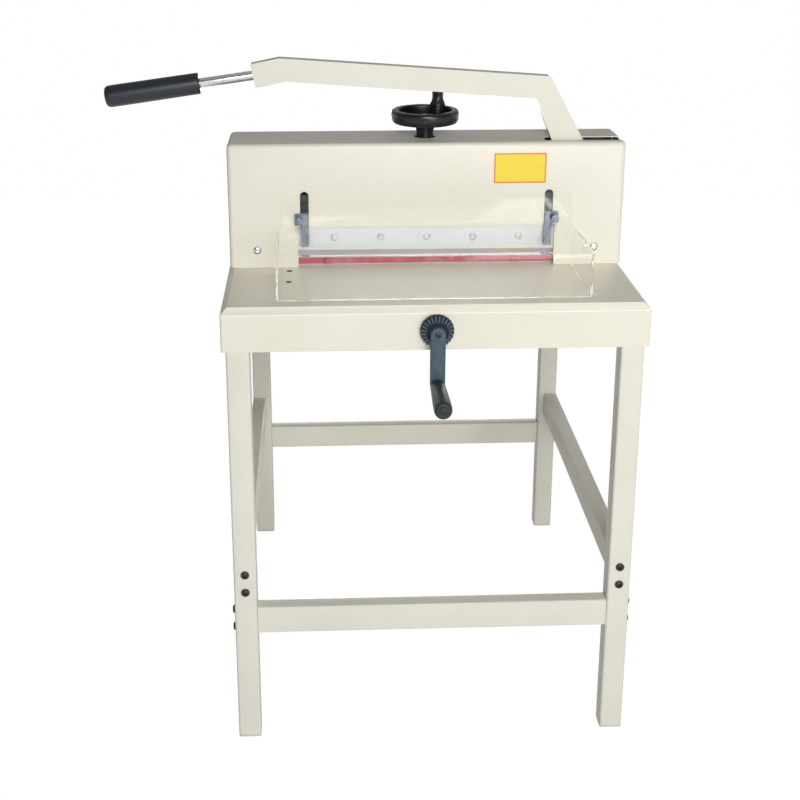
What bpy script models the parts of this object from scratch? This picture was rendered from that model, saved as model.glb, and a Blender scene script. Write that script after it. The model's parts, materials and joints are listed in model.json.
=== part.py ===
# Manual stack paper cutter on its stand.
# Metres, +Z up. X runs across the machine from its middle, Y = 0 is the housing's front face and +Y
# is the side where the paper goes in, Z = 0 is the floor. The whole is then moved so that the origin
# is the middle of its footprint.

from math import atan2, cos, pi, radians, sin, tan

import bmesh
import bpy
from mathutils import Matrix, Vector

# Gaps and sheet
SEAT = 0.0003
RUNNING = 0.0003
SHEET = 0.002
OVERRUN = 0.004

# Table casing
TABLE_HEIGHT = 0.740
TABLE_WIDTH = 0.645
TABLE_FRONT = -0.213
TABLE_BACK = 0.549
TABLE_SKIRT = 0.068
TABLE_CHAMFER = 0.010
TABLE_CORNER = 0.003

# Stand
LEG_SIDE = 0.036
LEG_WALL = 0.002
LEG_CORNER = 0.004
LEG_INSET_SIDE = 0.0065
LEG_INSET_END = 0.003
FOOT_THICK = 0.003
FOOT_PLUG_DEPTH = 0.022
STRETCHER_HEIGHT = 0.046
STRETCHER_THICK = 0.026
STRETCHER_CORNER = 0.003
STRETCHER_INSET = 0.002
END_STRETCHER_HEIGHT = 0.192
SIDE_STRETCHER_HEIGHT = 0.262
TOP_RAIL_HEIGHT = 0.055
TOP_RAIL_INSET = 0.0085
BED_RAIL_SIDE = 0.030

# Bed plate, cutting stick and side guide
BED_WIDTH = 0.4314
BED_THICK = 0.0117
BED_FRONT = 0.0145
BED_BACK = 0.540
STICK_DEPTH = 0.014
STICK_HEIGHT = 0.0094
STICK_LUG_RADIUS = 0.004
STICK_LUG_PROUD = 0.003
STICK_LUG_SPACING = 0.302
STICK_LUG_DROP = 0.0055
GUIDE_WIDTH = 0.0085
GUIDE_HEIGHT = 0.040
GUIDE_START = 0.105

# Side frames and crossbeam
FRAME_WIDTH = 0.030
FRAME_FRONT = 0.043
FRAME_DEPTH = 0.057
FRAME_FOOT = 0.016
FRAME_FOOT_THICK = 0.012
FRAME_FILLET = 0.010
BEAM_HEIGHT = 0.025
BEAM_DEPTH = 0.042
BEAM_BELOW_LID = 0.0107

# Housing
HOUSING_WIDTH = 0.638
HOUSING_DEPTH = 0.110
HOUSING_HEIGHT = 0.2027
HOUSING_BEND = 0.008
WINDOW_INSET = 0.0077
WINDOW_WIDTH = BED_WIDTH - 2 * WINDOW_INSET
WINDOW_HEIGHT = 0.0657
SLOT_INSET = 0.011
SLOT_SPACING = WINDOW_WIDTH - 2 * SLOT_INSET
SLOT_WIDTH = 0.0136
SLOT_TOP = 0.126
LEVER_SLOT_MARGIN = 0.012
LEVER_SLOT_DROP = 0.048
LEVER_SLOT_PLAY = 0.004
LID_HOLE_RADIUS = 0.018
REAR_MOUTH_HEIGHT = 0.060

# Knife, carrier and their guides
KNIFE_THICK = 0.008
KNIFE_HEIGHT = 0.0697
KNIFE_BEVEL = 0.020
KNIFE_END_GAP = 0.0012
KNIFE_LIFT = 0.048
KNIFE_SLANT = radians(22)
CARRIER_FRONT = 0.006
CARRIER_THICK = 0.010
CARRIER_BAR_BOTTOM = 0.026
CARRIER_BAR_HEIGHT = 0.046
CARRIER_TAIL_BOTTOM = 0.006
CARRIER_LEFT_TOP = 0.095
CARRIER_WALL = 0.012
CARRIER_BLEND = 0.006
GUIDE_BOLT_OUT = 0.0143
GUIDE_BOLT_OUT_LEFT = 0.0363
GUIDE_BOLT_X = BED_WIDTH / 2 + GUIDE_BOLT_OUT
GUIDE_BOLT_X_LEFT = BED_WIDTH / 2 + GUIDE_BOLT_OUT_LEFT
GUIDE_BOLT_HEIGHT = 0.072
GUIDE_BOLT_RADIUS = 0.006
GUIDE_BOLT_PLAY = 0.0005
GUIDE_BOLT_HEAD_RADIUS = 0.009
GUIDE_BOLT_HEAD = 0.003
GUIDE_BOLT_BODY_RADIUS = 0.008
GUIDE_BOLT_SUNK = 0.019

# Lever and its drive
PIVOT_OUT = 0.0393
PIVOT_X = BED_WIDTH / 2 + PIVOT_OUT
PIVOT_HEIGHT = 0.128
PIVOT_RADIUS = 0.011
PIVOT_HEAD_RADIUS = 0.017
PIVOT_HEAD = 0.0028
LEVER_THICK = 0.022
LEVER_FRONT = 0.020
LEVER_SWING = radians(65)
LEVER_REACH = 0.5332
LEVER_RISE = 0.2074
LEVER_HUB_RADIUS = 0.024
LEVER_EAR_RADIUS = 0.013
LEVER_EDGE = 0.0025
BUSH_WALL = 0.003
COLLAR_WALL = 0.007
COLLAR_LENGTH = 0.006
DRIVE_PIN_RADIUS = 0.005
ROLLER_RADIUS = 0.0085
ROLLER_PLAY = 0.0009
ROLLER_HEAD_RADIUS = 0.0064
ROLLER_HEAD = 0.002
ROD_RADIUS = 0.0075
ROD_SLOPE = radians(8)
ROD_POCKET = 0.026
ROD_SHOWING = 0.083
GRIP_LENGTH = 0.152
GRIP_RADIUS = 0.0172
GRIP_BORE_DEPTH = 0.075

# Clamp and handwheel
SPINDLE_Y = 0.060
SPINDLE_RADIUS = 0.008
CLAMP_TRAVEL = 0.040
CLAMP_FRONT = 0.025
CLAMP_DEPTH = 0.050
CLAMP_SOLE = 0.020
CLAMP_HEIGHT = 0.060
CLAMP_WEB = 0.014
CLAMP_END_GAP = 0.0005
CLAMP_BOSS_RADIUS = 0.0185
CLAMP_FLOOR = 0.010
NUT_RADIUS = 0.013
NUT_FLANGE_RADIUS = 0.0185
NUT_FLANGE = 0.006
NUT_LENGTH = 0.032
SPINDLE_BUSH_RADIUS = 0.013
SPINDLE_BUSH_FLANGE_RADIUS = 0.020
SPINDLE_BUSH_FLANGE = 0.0055
WHEEL_RADIUS = 0.0555
WHEEL_RIM = 0.0215
WHEEL_RIM_WIDTH = 0.013
WHEEL_ABOVE_LID = 0.0222
WHEEL_HUB_RADIUS = 0.0165
WHEEL_SPOKE = 0.008
WHEEL_SPOKE_WIDTH = 0.013
KNOB_HEIGHT = 0.028
KNOB_RADIUS = 0.0095
KNOB_FOOT_RADIUS = 0.013
KNOB_ANGLE = radians(57.2)
KNOB_SEAT_INSET = 0.0005
KNOB_PIN_RADIUS = 0.003
CAP_RADIUS = 0.010
CAP_HEIGHT = 0.009

# Guard
HOOD_OVERLAP = 0.032
HOOD_WIDTH = WINDOW_WIDTH + 2 * HOOD_OVERLAP
HOOD_FRONT = -0.178
HOOD_HEIGHT = 0.0717
HOOD_THICK = 0.004
HOOD_LIFT = 0.034
HOOD_FLANGE = 0.050
HOOD_OFF_PANEL = 0.0033
HOOD_BEND = 0.005
BRACKET_WIDTH = 0.0124
BRACKET_HEIGHT = 0.057
BRACKET_PLATE_WIDTH = 0.022
BRACKET_PLATE_HEIGHT = 0.019
BRACKET_PLATE_OFFSET = 0.005
BRACKET_BACK_WIDTH = 0.017
BRACKET_BACK_THICK = 0.003
GUARD_SCREW_HEAD_RADIUS = 0.0065
GUARD_SCREW_HEAD_LENGTH = 0.010
GUARD_SCREW_RADIUS = 0.003
GUARD_SCREW_HEAD_OFFSET = 0.009

# Back gauge and its crank
SCREW_DROP = 0.036
SCREW_RADIUS = 0.009
SCREW_FRONT_RADIUS = 0.007
SCREW_REAR_RADIUS = 0.006
BEARING_RADIUS = 0.012
BEARING_FLANGE_RADIUS = 0.016
BEARING_FLANGE = 0.003
GAUGE_REST = 0.475
GAUGE_TRAVEL = 0.395
GAUGE_HEIGHT = 0.038
GAUGE_THICK = 0.008
GAUGE_FOOT = 0.034
GAUGE_RIB = 0.006
GAUGE_RIB_STEP = 0.080
GAUGE_END_GAP = 0.0009
CARRIAGE_LENGTH = 0.026
CARRIAGE_NECK = 0.0168
CARRIAGE_WIDTH = 0.040
CARRIAGE_BELOW_SCREW = 0.014
GAUGE_SLOT_PLAY = 0.0006
DIAL_RADIUS = 0.0265
DIAL_LENGTH = 0.0124
DIAL_FLUTES = 24
DIAL_FLUTE_DEPTH = 0.0011
ARM_THICK = 0.0107
ARM_WIDTH = 0.024
ARM_CENTRES = 0.080
CRANK_GRIP_LENGTH = 0.0995
CRANK_GRIP_RADIUS = 0.0138
CRANK_GRIP_NECK = 0.0118
CRANK_PIN_RADIUS = 0.004
CRANK_PIN_HEAD_RADIUS = 0.0055
CRANK_PIN_HEAD = 0.003

# Round pieces
FINE_STEPS = 32
STEPS = 22
FEW_STEPS = 16
ROUND_PROFILE = 0.5

# Heights and places that follow from the sizes above
CASING_INSIDE = TABLE_HEIGHT - SHEET
LEG_TOP = CASING_INSIDE - TABLE_CHAMFER - SEAT
RAIL_TOP = CASING_INSIDE - SEAT
LEG_X = TABLE_WIDTH / 2 - LEG_INSET_SIDE - LEG_SIDE / 2
FRONT_LEG_Y = TABLE_FRONT + LEG_INSET_END + LEG_SIDE / 2
REAR_LEG_Y = TABLE_BACK - LEG_INSET_END - LEG_SIDE / 2
FRONT_RAIL_Y = FRONT_LEG_Y - LEG_SIDE / 2 + TOP_RAIL_INSET + STRETCHER_THICK / 2
REAR_RAIL_Y = REAR_LEG_Y + LEG_SIDE / 2 - TOP_RAIL_INSET - STRETCHER_THICK / 2
FRONT_STRETCHER_Y = FRONT_LEG_Y - LEG_SIDE / 2 + STRETCHER_INSET + STRETCHER_THICK / 2
REAR_STRETCHER_Y = REAR_LEG_Y + LEG_SIDE / 2 - STRETCHER_INSET - STRETCHER_THICK / 2
BASE = TABLE_HEIGHT + SEAT
BED_TOP = BASE + BED_THICK
FRAME_INNER = BED_WIDTH / 2 + SEAT
FRAME_OUTER = FRAME_INNER + FRAME_WIDTH
LID_TOP = BASE + HOUSING_HEIGHT
LID_INSIDE = LID_TOP - SHEET
BEAM_TOP = LID_INSIDE - BEAM_BELOW_LID
BEAM_BOTTOM = BEAM_TOP - BEAM_HEIGHT
FRAME_TOP = BEAM_BOTTOM - SEAT
CARRIER_BACK = CARRIER_FRONT + CARRIER_THICK
KNIFE_FRONT = CARRIER_BACK + SEAT
KNIFE_BACK = KNIFE_FRONT + KNIFE_THICK
KNIFE_EDGE = BED_TOP + SEAT
KNIFE_SHIFT = KNIFE_LIFT * tan(KNIFE_SLANT)
LEVER_BACK = LEVER_FRONT + LEVER_THICK
LEVER_MIDDLE = (LEVER_FRONT + LEVER_BACK) / 2
PIVOT = Vector((PIVOT_X, LEVER_MIDDLE, TABLE_HEIGHT + PIVOT_HEIGHT))
CRANK_RADIUS = KNIFE_LIFT / 2 / sin(LEVER_SWING / 2)
DRIVE_PIN = PIVOT + CRANK_RADIUS * Vector((-cos(LEVER_SWING / 2), 0, -sin(LEVER_SWING / 2)))
GUIDE_BOLT_Z = TABLE_HEIGHT + GUIDE_BOLT_HEIGHT
CLAMP_BOTTOM = BED_TOP + CLAMP_TRAVEL
CLAMP_TOP = CLAMP_BOTTOM + CLAMP_HEIGHT
WHEEL_BOTTOM = LID_TOP + WHEEL_ABOVE_LID
WHEEL_TOP = WHEEL_BOTTOM + WHEEL_RIM
HUB_TOP = WHEEL_BOTTOM + WHEEL_SPOKE * 0.6
KNOB_ORBIT = WHEEL_RADIUS - KNOB_FOOT_RADIUS + KNOB_SEAT_INSET
HOOD_TOP = BASE + HOOD_HEIGHT
FLANGE_BACK = -HOOD_OFF_PANEL
FLANGE_FRONT = FLANGE_BACK - HOOD_THICK
SCREW_Z = TABLE_HEIGHT - SCREW_DROP
DIAL_BACK = TABLE_FRONT - SEAT - BEARING_FLANGE - SEAT
DIAL_FRONT = DIAL_BACK - DIAL_LENGTH
ARM_BACK = DIAL_FRONT - SEAT
ARM_FRONT = ARM_BACK - ARM_THICK
CRANK_GRIP_BACK = ARM_FRONT - SEAT
CRANK_GRIP_FRONT = CRANK_GRIP_BACK - CRANK_GRIP_LENGTH

# Lever outline seen from the front, from the pivot: shares of its reach and of its rise, and each
# corner's radius as a share of the rise
LEVER_OUTLINE_SHARES = [
    (-0.098, 0.346, 0.10),
    (-0.1515, 0.683, 0.02),
    (-0.8955, 0.824, 0.04),
    (-0.986, 0.777, 0.012),
    (-1.000, 0.956, 0.012),
    (-0.915, 1.000, 0.05),
    (-0.110, 0.851, 0.03),
    (-0.002, 0.343, 0.15),
]


def material(name, colour, roughness, metallic=0.0, alpha=1.0):
    made = bpy.data.materials.new(name)
    made.use_nodes = True
    shader = made.node_tree.nodes["Principled BSDF"]
    shader.inputs["Base Color"].default_value = (*colour, 1.0)
    shader.inputs["Roughness"].default_value = roughness
    shader.inputs["Metallic"].default_value = metallic
    shader.inputs["Alpha"].default_value = alpha
    made.diffuse_color = (*colour, alpha)
    return made


def clear_scene():
    for old in list(bpy.data.objects):
        bpy.data.objects.remove(old, do_unlink=True)


def collection(name):
    made = bpy.data.collections.new(name)
    bpy.context.scene.collection.children.link(made)
    return made


def new_object(name, mesh):
    made = bpy.data.objects.new(name, mesh)
    parts.objects.link(made)
    return made


def smooth(thing):
    thing.data.shade_smooth()
    thing.data.set_sharp_from_angle(angle=radians(35))
    return thing


def block(name, low, high):
    # A box between two corners, about its own middle
    mesh = bpy.data.meshes.new(name)
    shape = bmesh.new()
    bmesh.ops.create_cube(shape, size=1)
    low = Vector(low)
    high = Vector(high)
    bmesh.ops.scale(shape, vec=high - low, verts=shape.verts)
    shape.to_mesh(mesh)
    shape.free()
    made = new_object(name, mesh)
    made.location = (low + high) / 2
    return made


def round_bar(name, radius, start, end, steps=STEPS):
    # A cylinder from one point to another
    start = Vector(start)
    end = Vector(end)
    mesh = bpy.data.meshes.new(name)
    shape = bmesh.new()
    bmesh.ops.create_cone(shape, cap_ends=True, segments=steps, radius1=radius, radius2=radius,
                          depth=(end - start).length)
    shape.to_mesh(mesh)
    shape.free()
    made = new_object(name, mesh)
    made.location = (start + end) / 2
    made.rotation_euler = (end - start).to_track_quat("Z", "Y").to_euler()
    return smooth(made)


def turned(name, profile, at, along=(0, 0, 1), steps=STEPS, closed=True):
    # A profile of (radius, height) points, from the top down its outer side, turned about an axis
    count = len(profile)
    edges = [(i, i + 1) for i in range(count - 1)]
    if closed:
        edges.append((count - 1, 0))
    mesh = bpy.data.meshes.new(name)
    mesh.from_pydata([(r, 0, h) for r, h in profile], edges, [])
    made = new_object(name, mesh)
    made.location = Vector(at)
    made.rotation_euler = Vector(along).to_track_quat("Z", "Y").to_euler()
    screw = made.modifiers.new("Turn", "SCREW")
    screw.steps = steps
    screw.render_steps = steps
    screw.use_merge_vertices = True
    screw.merge_threshold = 0.00001
    return made


def plate(name, outlines, low, high, plane):
    # Flat outlines (the first is the edge, the others are holes) given the thickness low to high
    curve = bpy.data.curves.new(name, "CURVE")
    curve.dimensions = "2D"
    curve.fill_mode = "BOTH"
    curve.extrude = (high - low) / 2
    for outline in outlines:
        spline = curve.splines.new("POLY")
        spline.points.add(len(outline) - 1)
        for point, (u, v) in zip(spline.points, outline):
            point.co = (u, v, 0, 1)
        spline.use_cyclic_u = True
    source = new_object(name + "_outline", curve)
    graph = bpy.context.evaluated_depsgraph_get()
    mesh = bpy.data.meshes.new_from_object(source.evaluated_get(graph))
    shape = bmesh.new()
    shape.from_mesh(mesh)
    bmesh.ops.remove_doubles(shape, verts=shape.verts, dist=SEAT / 10)
    bmesh.ops.recalc_face_normals(shape, faces=shape.faces)
    shape.to_mesh(mesh)
    shape.free()
    bpy.data.objects.remove(source, do_unlink=True)
    made = new_object(name, mesh)
    middle = (low + high) / 2
    turn = {"XY": Matrix.Identity(4),
            "XZ": Matrix.Rotation(pi / 2, 4, "X"),
            "YZ": Matrix.Rotation(pi / 2, 4, "Z") @ Matrix.Rotation(pi / 2, 4, "X")}[plane]
    shift = {"XY": (0, 0, middle), "XZ": (0, middle, 0), "YZ": (middle, 0, 0)}[plane]
    made.matrix_world = Matrix.Translation(shift) @ turn
    return made


def cut(thing, *cutters):
    for cutter in cutters:
        hole = thing.modifiers.new("Cut", "BOOLEAN")
        hole.operation = "DIFFERENCE"
        hole.object = cutter
        hide(cutter)
    return thing


def join(thing, *others):
    for other in others:
        weld = thing.modifiers.new("Join", "BOOLEAN")
        weld.operation = "UNION"
        weld.object = other
        hide(other)
    return thing


def hide(cutter):
    parts.objects.unlink(cutter)
    cutters.objects.link(cutter)
    cutter.hide_render = True
    cutter.display_type = "WIRE"


def edge(thing, width, steps=2, angle=radians(40)):
    bevel = thing.modifiers.new("Edge", "BEVEL")
    bevel.width = width
    bevel.segments = steps
    bevel.limit_method = "ANGLE"
    bevel.angle_limit = angle
    return thing


def rectangle(u0, u1, v0, v1, radius=0, steps=4):
    corners = [(u0, v0, radius), (u1, v0, radius), (u1, v1, radius), (u0, v1, radius)]
    return rounded(corners, steps)


def circle(u, v, radius, steps=STEPS):
    return [(u + radius * cos(2 * pi * i / steps), v + radius * sin(2 * pi * i / steps))
            for i in range(steps)]


def slot(start, end, radius, steps=8):
    # A long hole: two half circles about its end points
    start = Vector(start)
    end = Vector(end)
    heading = atan2(end.y - start.y, end.x - start.x)
    points = []
    for centre, first in ((end, heading - pi / 2), (start, heading + pi / 2)):
        for i in range(steps + 1):
            turn = first + pi * i / steps
            points.append((centre.x + radius * cos(turn), centre.y + radius * sin(turn)))
    return points


def rounded(corners, steps=4):
    # A closed outline of (u, v, radius) corners, each corner an arc that touches both its sides
    points = []
    count = len(corners)
    for i, (u, v, radius) in enumerate(corners):
        here = Vector((u, v))
        if radius <= 0:
            points.append((u, v))
            continue
        before = (Vector(corners[i - 1][:2]) - here).normalized()
        after = (Vector(corners[(i + 1) % count][:2]) - here).normalized()
        half = before.angle(after) / 2
        centre = here + (before + after).normalized() * radius / sin(half)
        first = here + before * radius / tan(half) - centre
        last = here + after * radius / tan(half) - centre
        start = atan2(first.y, first.x)
        sweep = (atan2(last.y, last.x) - start + pi) % (2 * pi) - pi
        for k in range(steps + 1):
            turn = start + sweep * k / steps
            points.append((centre.x + radius * cos(turn), centre.y + radius * sin(turn)))
    return points


def hollow_tube(name, width, depth, wall, corner, low, high, centre, plane):
    # A rectangular tube: width and depth of its section about the centre, from low to high along it
    u, v = centre
    outer = rectangle(u - width / 2, u + width / 2, v - depth / 2, v + depth / 2, corner)
    inner_corner = max(corner - wall, corner / 4)
    inner = rectangle(u - width / 2 + wall, u + width / 2 - wall,
                      v - depth / 2 + wall, v + depth / 2 - wall, inner_corner)
    return plate(name, [outer, inner], low, high, plane)


def make_stand():
    # Four legs with a foot plug each
    for end, y in (("front", FRONT_LEG_Y), ("rear", REAR_LEG_Y)):
        for side, sign in (("left", -1), ("right", 1)):
            x = sign * LEG_X
            leg = hollow_tube(f"leg_{end}_{side}", LEG_SIDE, LEG_SIDE, LEG_WALL, LEG_CORNER,
                              FOOT_THICK + SEAT, LEG_TOP, (x, y), "XY")
            finish(leg, leg_paint)
            half = LEG_SIDE / 2
            base = plate(f"foot_{end}_{side}",
                         [rectangle(x - half, x + half, y - half, y + half, LEG_CORNER)],
                         0, FOOT_THICK, "XY")
            half = LEG_SIDE / 2 - LEG_WALL - SEAT
            stem = plate(f"foot_stem_{end}_{side}",
                         [rectangle(x - half, x + half, y - half, y + half, LEG_CORNER - LEG_WALL)],
                         FOOT_THICK / 2, FOOT_THICK + FOOT_PLUG_DEPTH, "XY")
            finish(join(base, stem), pale_plastic)

    # Stretchers between the legs, and the rails that carry the bed under the casing
    reach = LEG_X - LEG_SIDE / 2 - SEAT
    for end, y, rail_y in (("front", FRONT_STRETCHER_Y, FRONT_RAIL_Y),
                           ("rear", REAR_STRETCHER_Y, REAR_RAIL_Y)):
        z = END_STRETCHER_HEIGHT + STRETCHER_HEIGHT / 2
        bar = hollow_tube(f"stretcher_{end}", STRETCHER_THICK, STRETCHER_HEIGHT, LEG_WALL,
                          STRETCHER_CORNER, -reach, reach, (y, z), "YZ")
        finish(bar, leg_paint)
        z = RAIL_TOP - TOP_RAIL_HEIGHT / 2
        rail = hollow_tube(f"top_rail_{end}", STRETCHER_THICK, TOP_RAIL_HEIGHT, LEG_WALL,
                           STRETCHER_CORNER, -reach, reach, (rail_y, z), "YZ")
        hole = round_bar(f"bearing_hole_{end}", BEARING_RADIUS + RUNNING,
                         (0, rail_y - STRETCHER_THICK, SCREW_Z), (0, rail_y + STRETCHER_THICK, SCREW_Z))
        finish(cut(rail, hole), leg_paint)
    low = FRONT_LEG_Y + LEG_SIDE / 2 + SEAT
    high = REAR_LEG_Y - LEG_SIDE / 2 - SEAT
    for side, sign in (("left", -1), ("right", 1)):
        x = sign * (LEG_X + LEG_SIDE / 2 - STRETCHER_THICK / 2)
        z = SIDE_STRETCHER_HEIGHT + STRETCHER_HEIGHT / 2
        bar = hollow_tube(f"stretcher_{side}", STRETCHER_THICK, STRETCHER_HEIGHT, LEG_WALL,
                          STRETCHER_CORNER, low, high, (x, z), "XZ")
        finish(bar, leg_paint)
        x = sign * (FRAME_INNER + FRAME_WIDTH / 2)
        z = RAIL_TOP - BED_RAIL_SIDE / 2
        rail = hollow_tube(f"bed_rail_{side}", BED_RAIL_SIDE, BED_RAIL_SIDE, LEG_WALL,
                           STRETCHER_CORNER, FRONT_RAIL_Y + STRETCHER_THICK / 2 + SEAT,
                           REAR_RAIL_Y - STRETCHER_THICK / 2 - SEAT, (x, z), "XZ")
        finish(rail, leg_paint)


def gauge_slot_ends():
    # Where the back gauge's neck runs, from its front limit to its rest place
    play = GAUGE_SLOT_PLAY
    start = GAUGE_REST - GAUGE_TRAVEL + GAUGE_THICK / 2 - play
    end = GAUGE_REST + GAUGE_THICK / 2 + CARRIAGE_LENGTH + play
    return start, end


def gauge_slot(name):
    start, end = gauge_slot_ends()
    half = CARRIAGE_NECK / 2 + GAUGE_SLOT_PLAY
    return block(name, (-half, start, SCREW_Z), (half, end, BED_TOP + OVERRUN))


def make_casing():
    # A tray of sheet, open below: its top edges are sloped and its upright edges bent
    mesh = bpy.data.meshes.new("table_casing")
    shape = bmesh.new()
    bmesh.ops.create_cube(shape, size=1)
    size = Vector((TABLE_WIDTH, TABLE_BACK - TABLE_FRONT, TABLE_SKIRT))
    bmesh.ops.scale(shape, vec=size, verts=shape.verts)
    floor = [face for face in shape.faces if round(face.normal.z) < 0]
    bmesh.ops.delete(shape, geom=floor, context="FACES_ONLY")
    top = [line for line in shape.edges if all(v.co.z > 0 for v in line.verts)]
    bmesh.ops.bevel(shape, geom=top, offset=TABLE_CHAMFER, segments=1, affect="EDGES",
                    offset_type="OFFSET")
    upright = [line for line in shape.edges
               if abs(line.verts[0].co.z - line.verts[1].co.z) > TABLE_SKIRT / 2]
    bmesh.ops.bevel(shape, geom=upright, offset=TABLE_CORNER, segments=2, affect="EDGES",
                    profile=ROUND_PROFILE)
    shape.to_mesh(mesh)
    shape.free()
    casing = new_object("table_casing", mesh)
    casing.location = (0, (TABLE_FRONT + TABLE_BACK) / 2, TABLE_HEIGHT - TABLE_SKIRT / 2)
    wall = casing.modifiers.new("Sheet", "SOLIDIFY")
    wall.thickness = SHEET
    wall.offset = -1
    wall.use_even_offset = True
    hole = round_bar("casing_screw_hole", BEARING_RADIUS + RUNNING,
                     (0, TABLE_FRONT - OVERRUN, SCREW_Z), (0, TABLE_FRONT + OVERRUN, SCREW_Z))
    finish(cut(casing, gauge_slot("casing_slot"), hole), table_paint)


def make_bed():
    # The bed plate has a rebate along its front for the stick, and the slot for the back gauge
    half = BED_WIDTH / 2
    bed = block("bed_plate", (-half, BED_FRONT, BASE), (half, BED_BACK, BED_TOP))
    rebate = block("stick_rebate", (-half - OVERRUN, BED_FRONT - OVERRUN, BED_TOP - STICK_HEIGHT - SEAT),
                   (half + OVERRUN, BED_FRONT + STICK_DEPTH + SEAT, BED_TOP + OVERRUN))
    finish(cut(bed, rebate, gauge_slot("bed_slot")), machined_steel)

    stick = block("cutting_stick", (-half, BED_FRONT, BED_TOP - STICK_HEIGHT),
                  (half, BED_FRONT + STICK_DEPTH, BED_TOP))
    z = BED_TOP - STICK_LUG_DROP
    for number, sign in ((1, -1), (2, 1)):
        x = sign * STICK_LUG_SPACING / 2
        lug = round_bar(f"stick_lug_{number}", STICK_LUG_RADIUS, (x, BED_FRONT - STICK_LUG_PROUD, z),
                        (x, BED_FRONT + STICK_LUG_PROUD, z), 16)
        join(stick, lug)
    finish(stick, red_plastic)

    guide = block("side_guide_left", (-half + SEAT, GUIDE_START, BED_TOP + SEAT),
                  (-half + SEAT + GUIDE_WIDTH, BED_BACK, BED_TOP + SEAT + GUIDE_HEIGHT))
    finish(edge(guide, GUIDE_WIDTH / 8, 1), machined_steel)


def make_frames():
    # Two cast side frames: a column on a bolted foot, with an ear for the lever's pivot on the right
    # and one for the guide bolt on the left
    low = FRAME_FRONT
    high = FRAME_FRONT + FRAME_DEPTH
    foot_x = FRAME_OUTER + FRAME_FOOT
    foot_z = BASE + FRAME_FOOT_THICK
    for side, sign in (("left", -1), ("right", 1)):
        if sign > 0:
            ear_x, ear_z, ear = PIVOT.x, PIVOT.z, PIVOT_RADIUS * 2
        else:
            ear_x, ear_z, ear = GUIDE_BOLT_X_LEFT, GUIDE_BOLT_Z, GUIDE_BOLT_BODY_RADIUS * 2
        reach = ear_x + ear
        outline = [(FRAME_INNER, BASE, 0), (foot_x, BASE, 0), (foot_x, foot_z, FRAME_FOOT_THICK / 4),
                   (FRAME_OUTER, foot_z, FRAME_FILLET),
                   (FRAME_OUTER, ear_z - ear - FRAME_FILLET, FRAME_FILLET),
                   (reach, ear_z - ear, ear * 0.9), (reach, ear_z + ear, ear * 0.9),
                   (FRAME_OUTER, ear_z + ear + FRAME_FILLET, FRAME_FILLET / 2),
                   (FRAME_OUTER, FRAME_TOP, 0), (FRAME_INNER, FRAME_TOP, 0)]
        path = [(sign * u, v) for u, v in rounded(outline)]
        bolt_x = sign * (GUIDE_BOLT_X if sign > 0 else GUIDE_BOLT_X_LEFT)
        holes = []
        if sign > 0:
            holes.append(circle(PIVOT.x, PIVOT.z, PIVOT_RADIUS + RUNNING))
        frame = plate(f"side_frame_{side}", [path] + holes, low, high, "XZ")
        hole = round_bar(f"guide_bolt_hole_{side}", GUIDE_BOLT_BODY_RADIUS + RUNNING,
                         (bolt_x, low - OVERRUN, GUIDE_BOLT_Z),
                         (bolt_x, low + GUIDE_BOLT_SUNK + RUNNING, GUIDE_BOLT_Z))
        finish(cut(frame, hole), cast_paint)

    beam = block("crossbeam", (-FRAME_OUTER, FRAME_FRONT, BEAM_BOTTOM),
                 (FRAME_OUTER, FRAME_FRONT + BEAM_DEPTH, BEAM_TOP))
    edge(beam, BEAM_HEIGHT / 16, 1)
    hole = round_bar("beam_hole", SPINDLE_BUSH_RADIUS + RUNNING,
                     (0, SPINDLE_Y, BEAM_BOTTOM - OVERRUN), (0, SPINDLE_Y, BEAM_TOP + OVERRUN))
    finish(cut(beam, hole), cast_paint)


def lever_outline():
    # The arm and leg from the table of shares, closed by the ear and the hub below
    corners = [(PIVOT.x + u * LEVER_REACH, PIVOT.z + v * LEVER_RISE, r * LEVER_RISE)
               for u, v, r in LEVER_OUTLINE_SHARES]
    ear = LEVER_EAR_RADIUS
    hub = LEVER_HUB_RADIUS
    below = [(PIVOT.x + hub, PIVOT.z + hub / 2, hub / 2),
             (PIVOT.x + hub, PIVOT.z - hub, hub * 0.95),
             (DRIVE_PIN.x - ear, DRIVE_PIN.z - ear, ear * 0.95),
             (DRIVE_PIN.x - ear, DRIVE_PIN.z + ear, ear)]
    return corners + below


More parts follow.
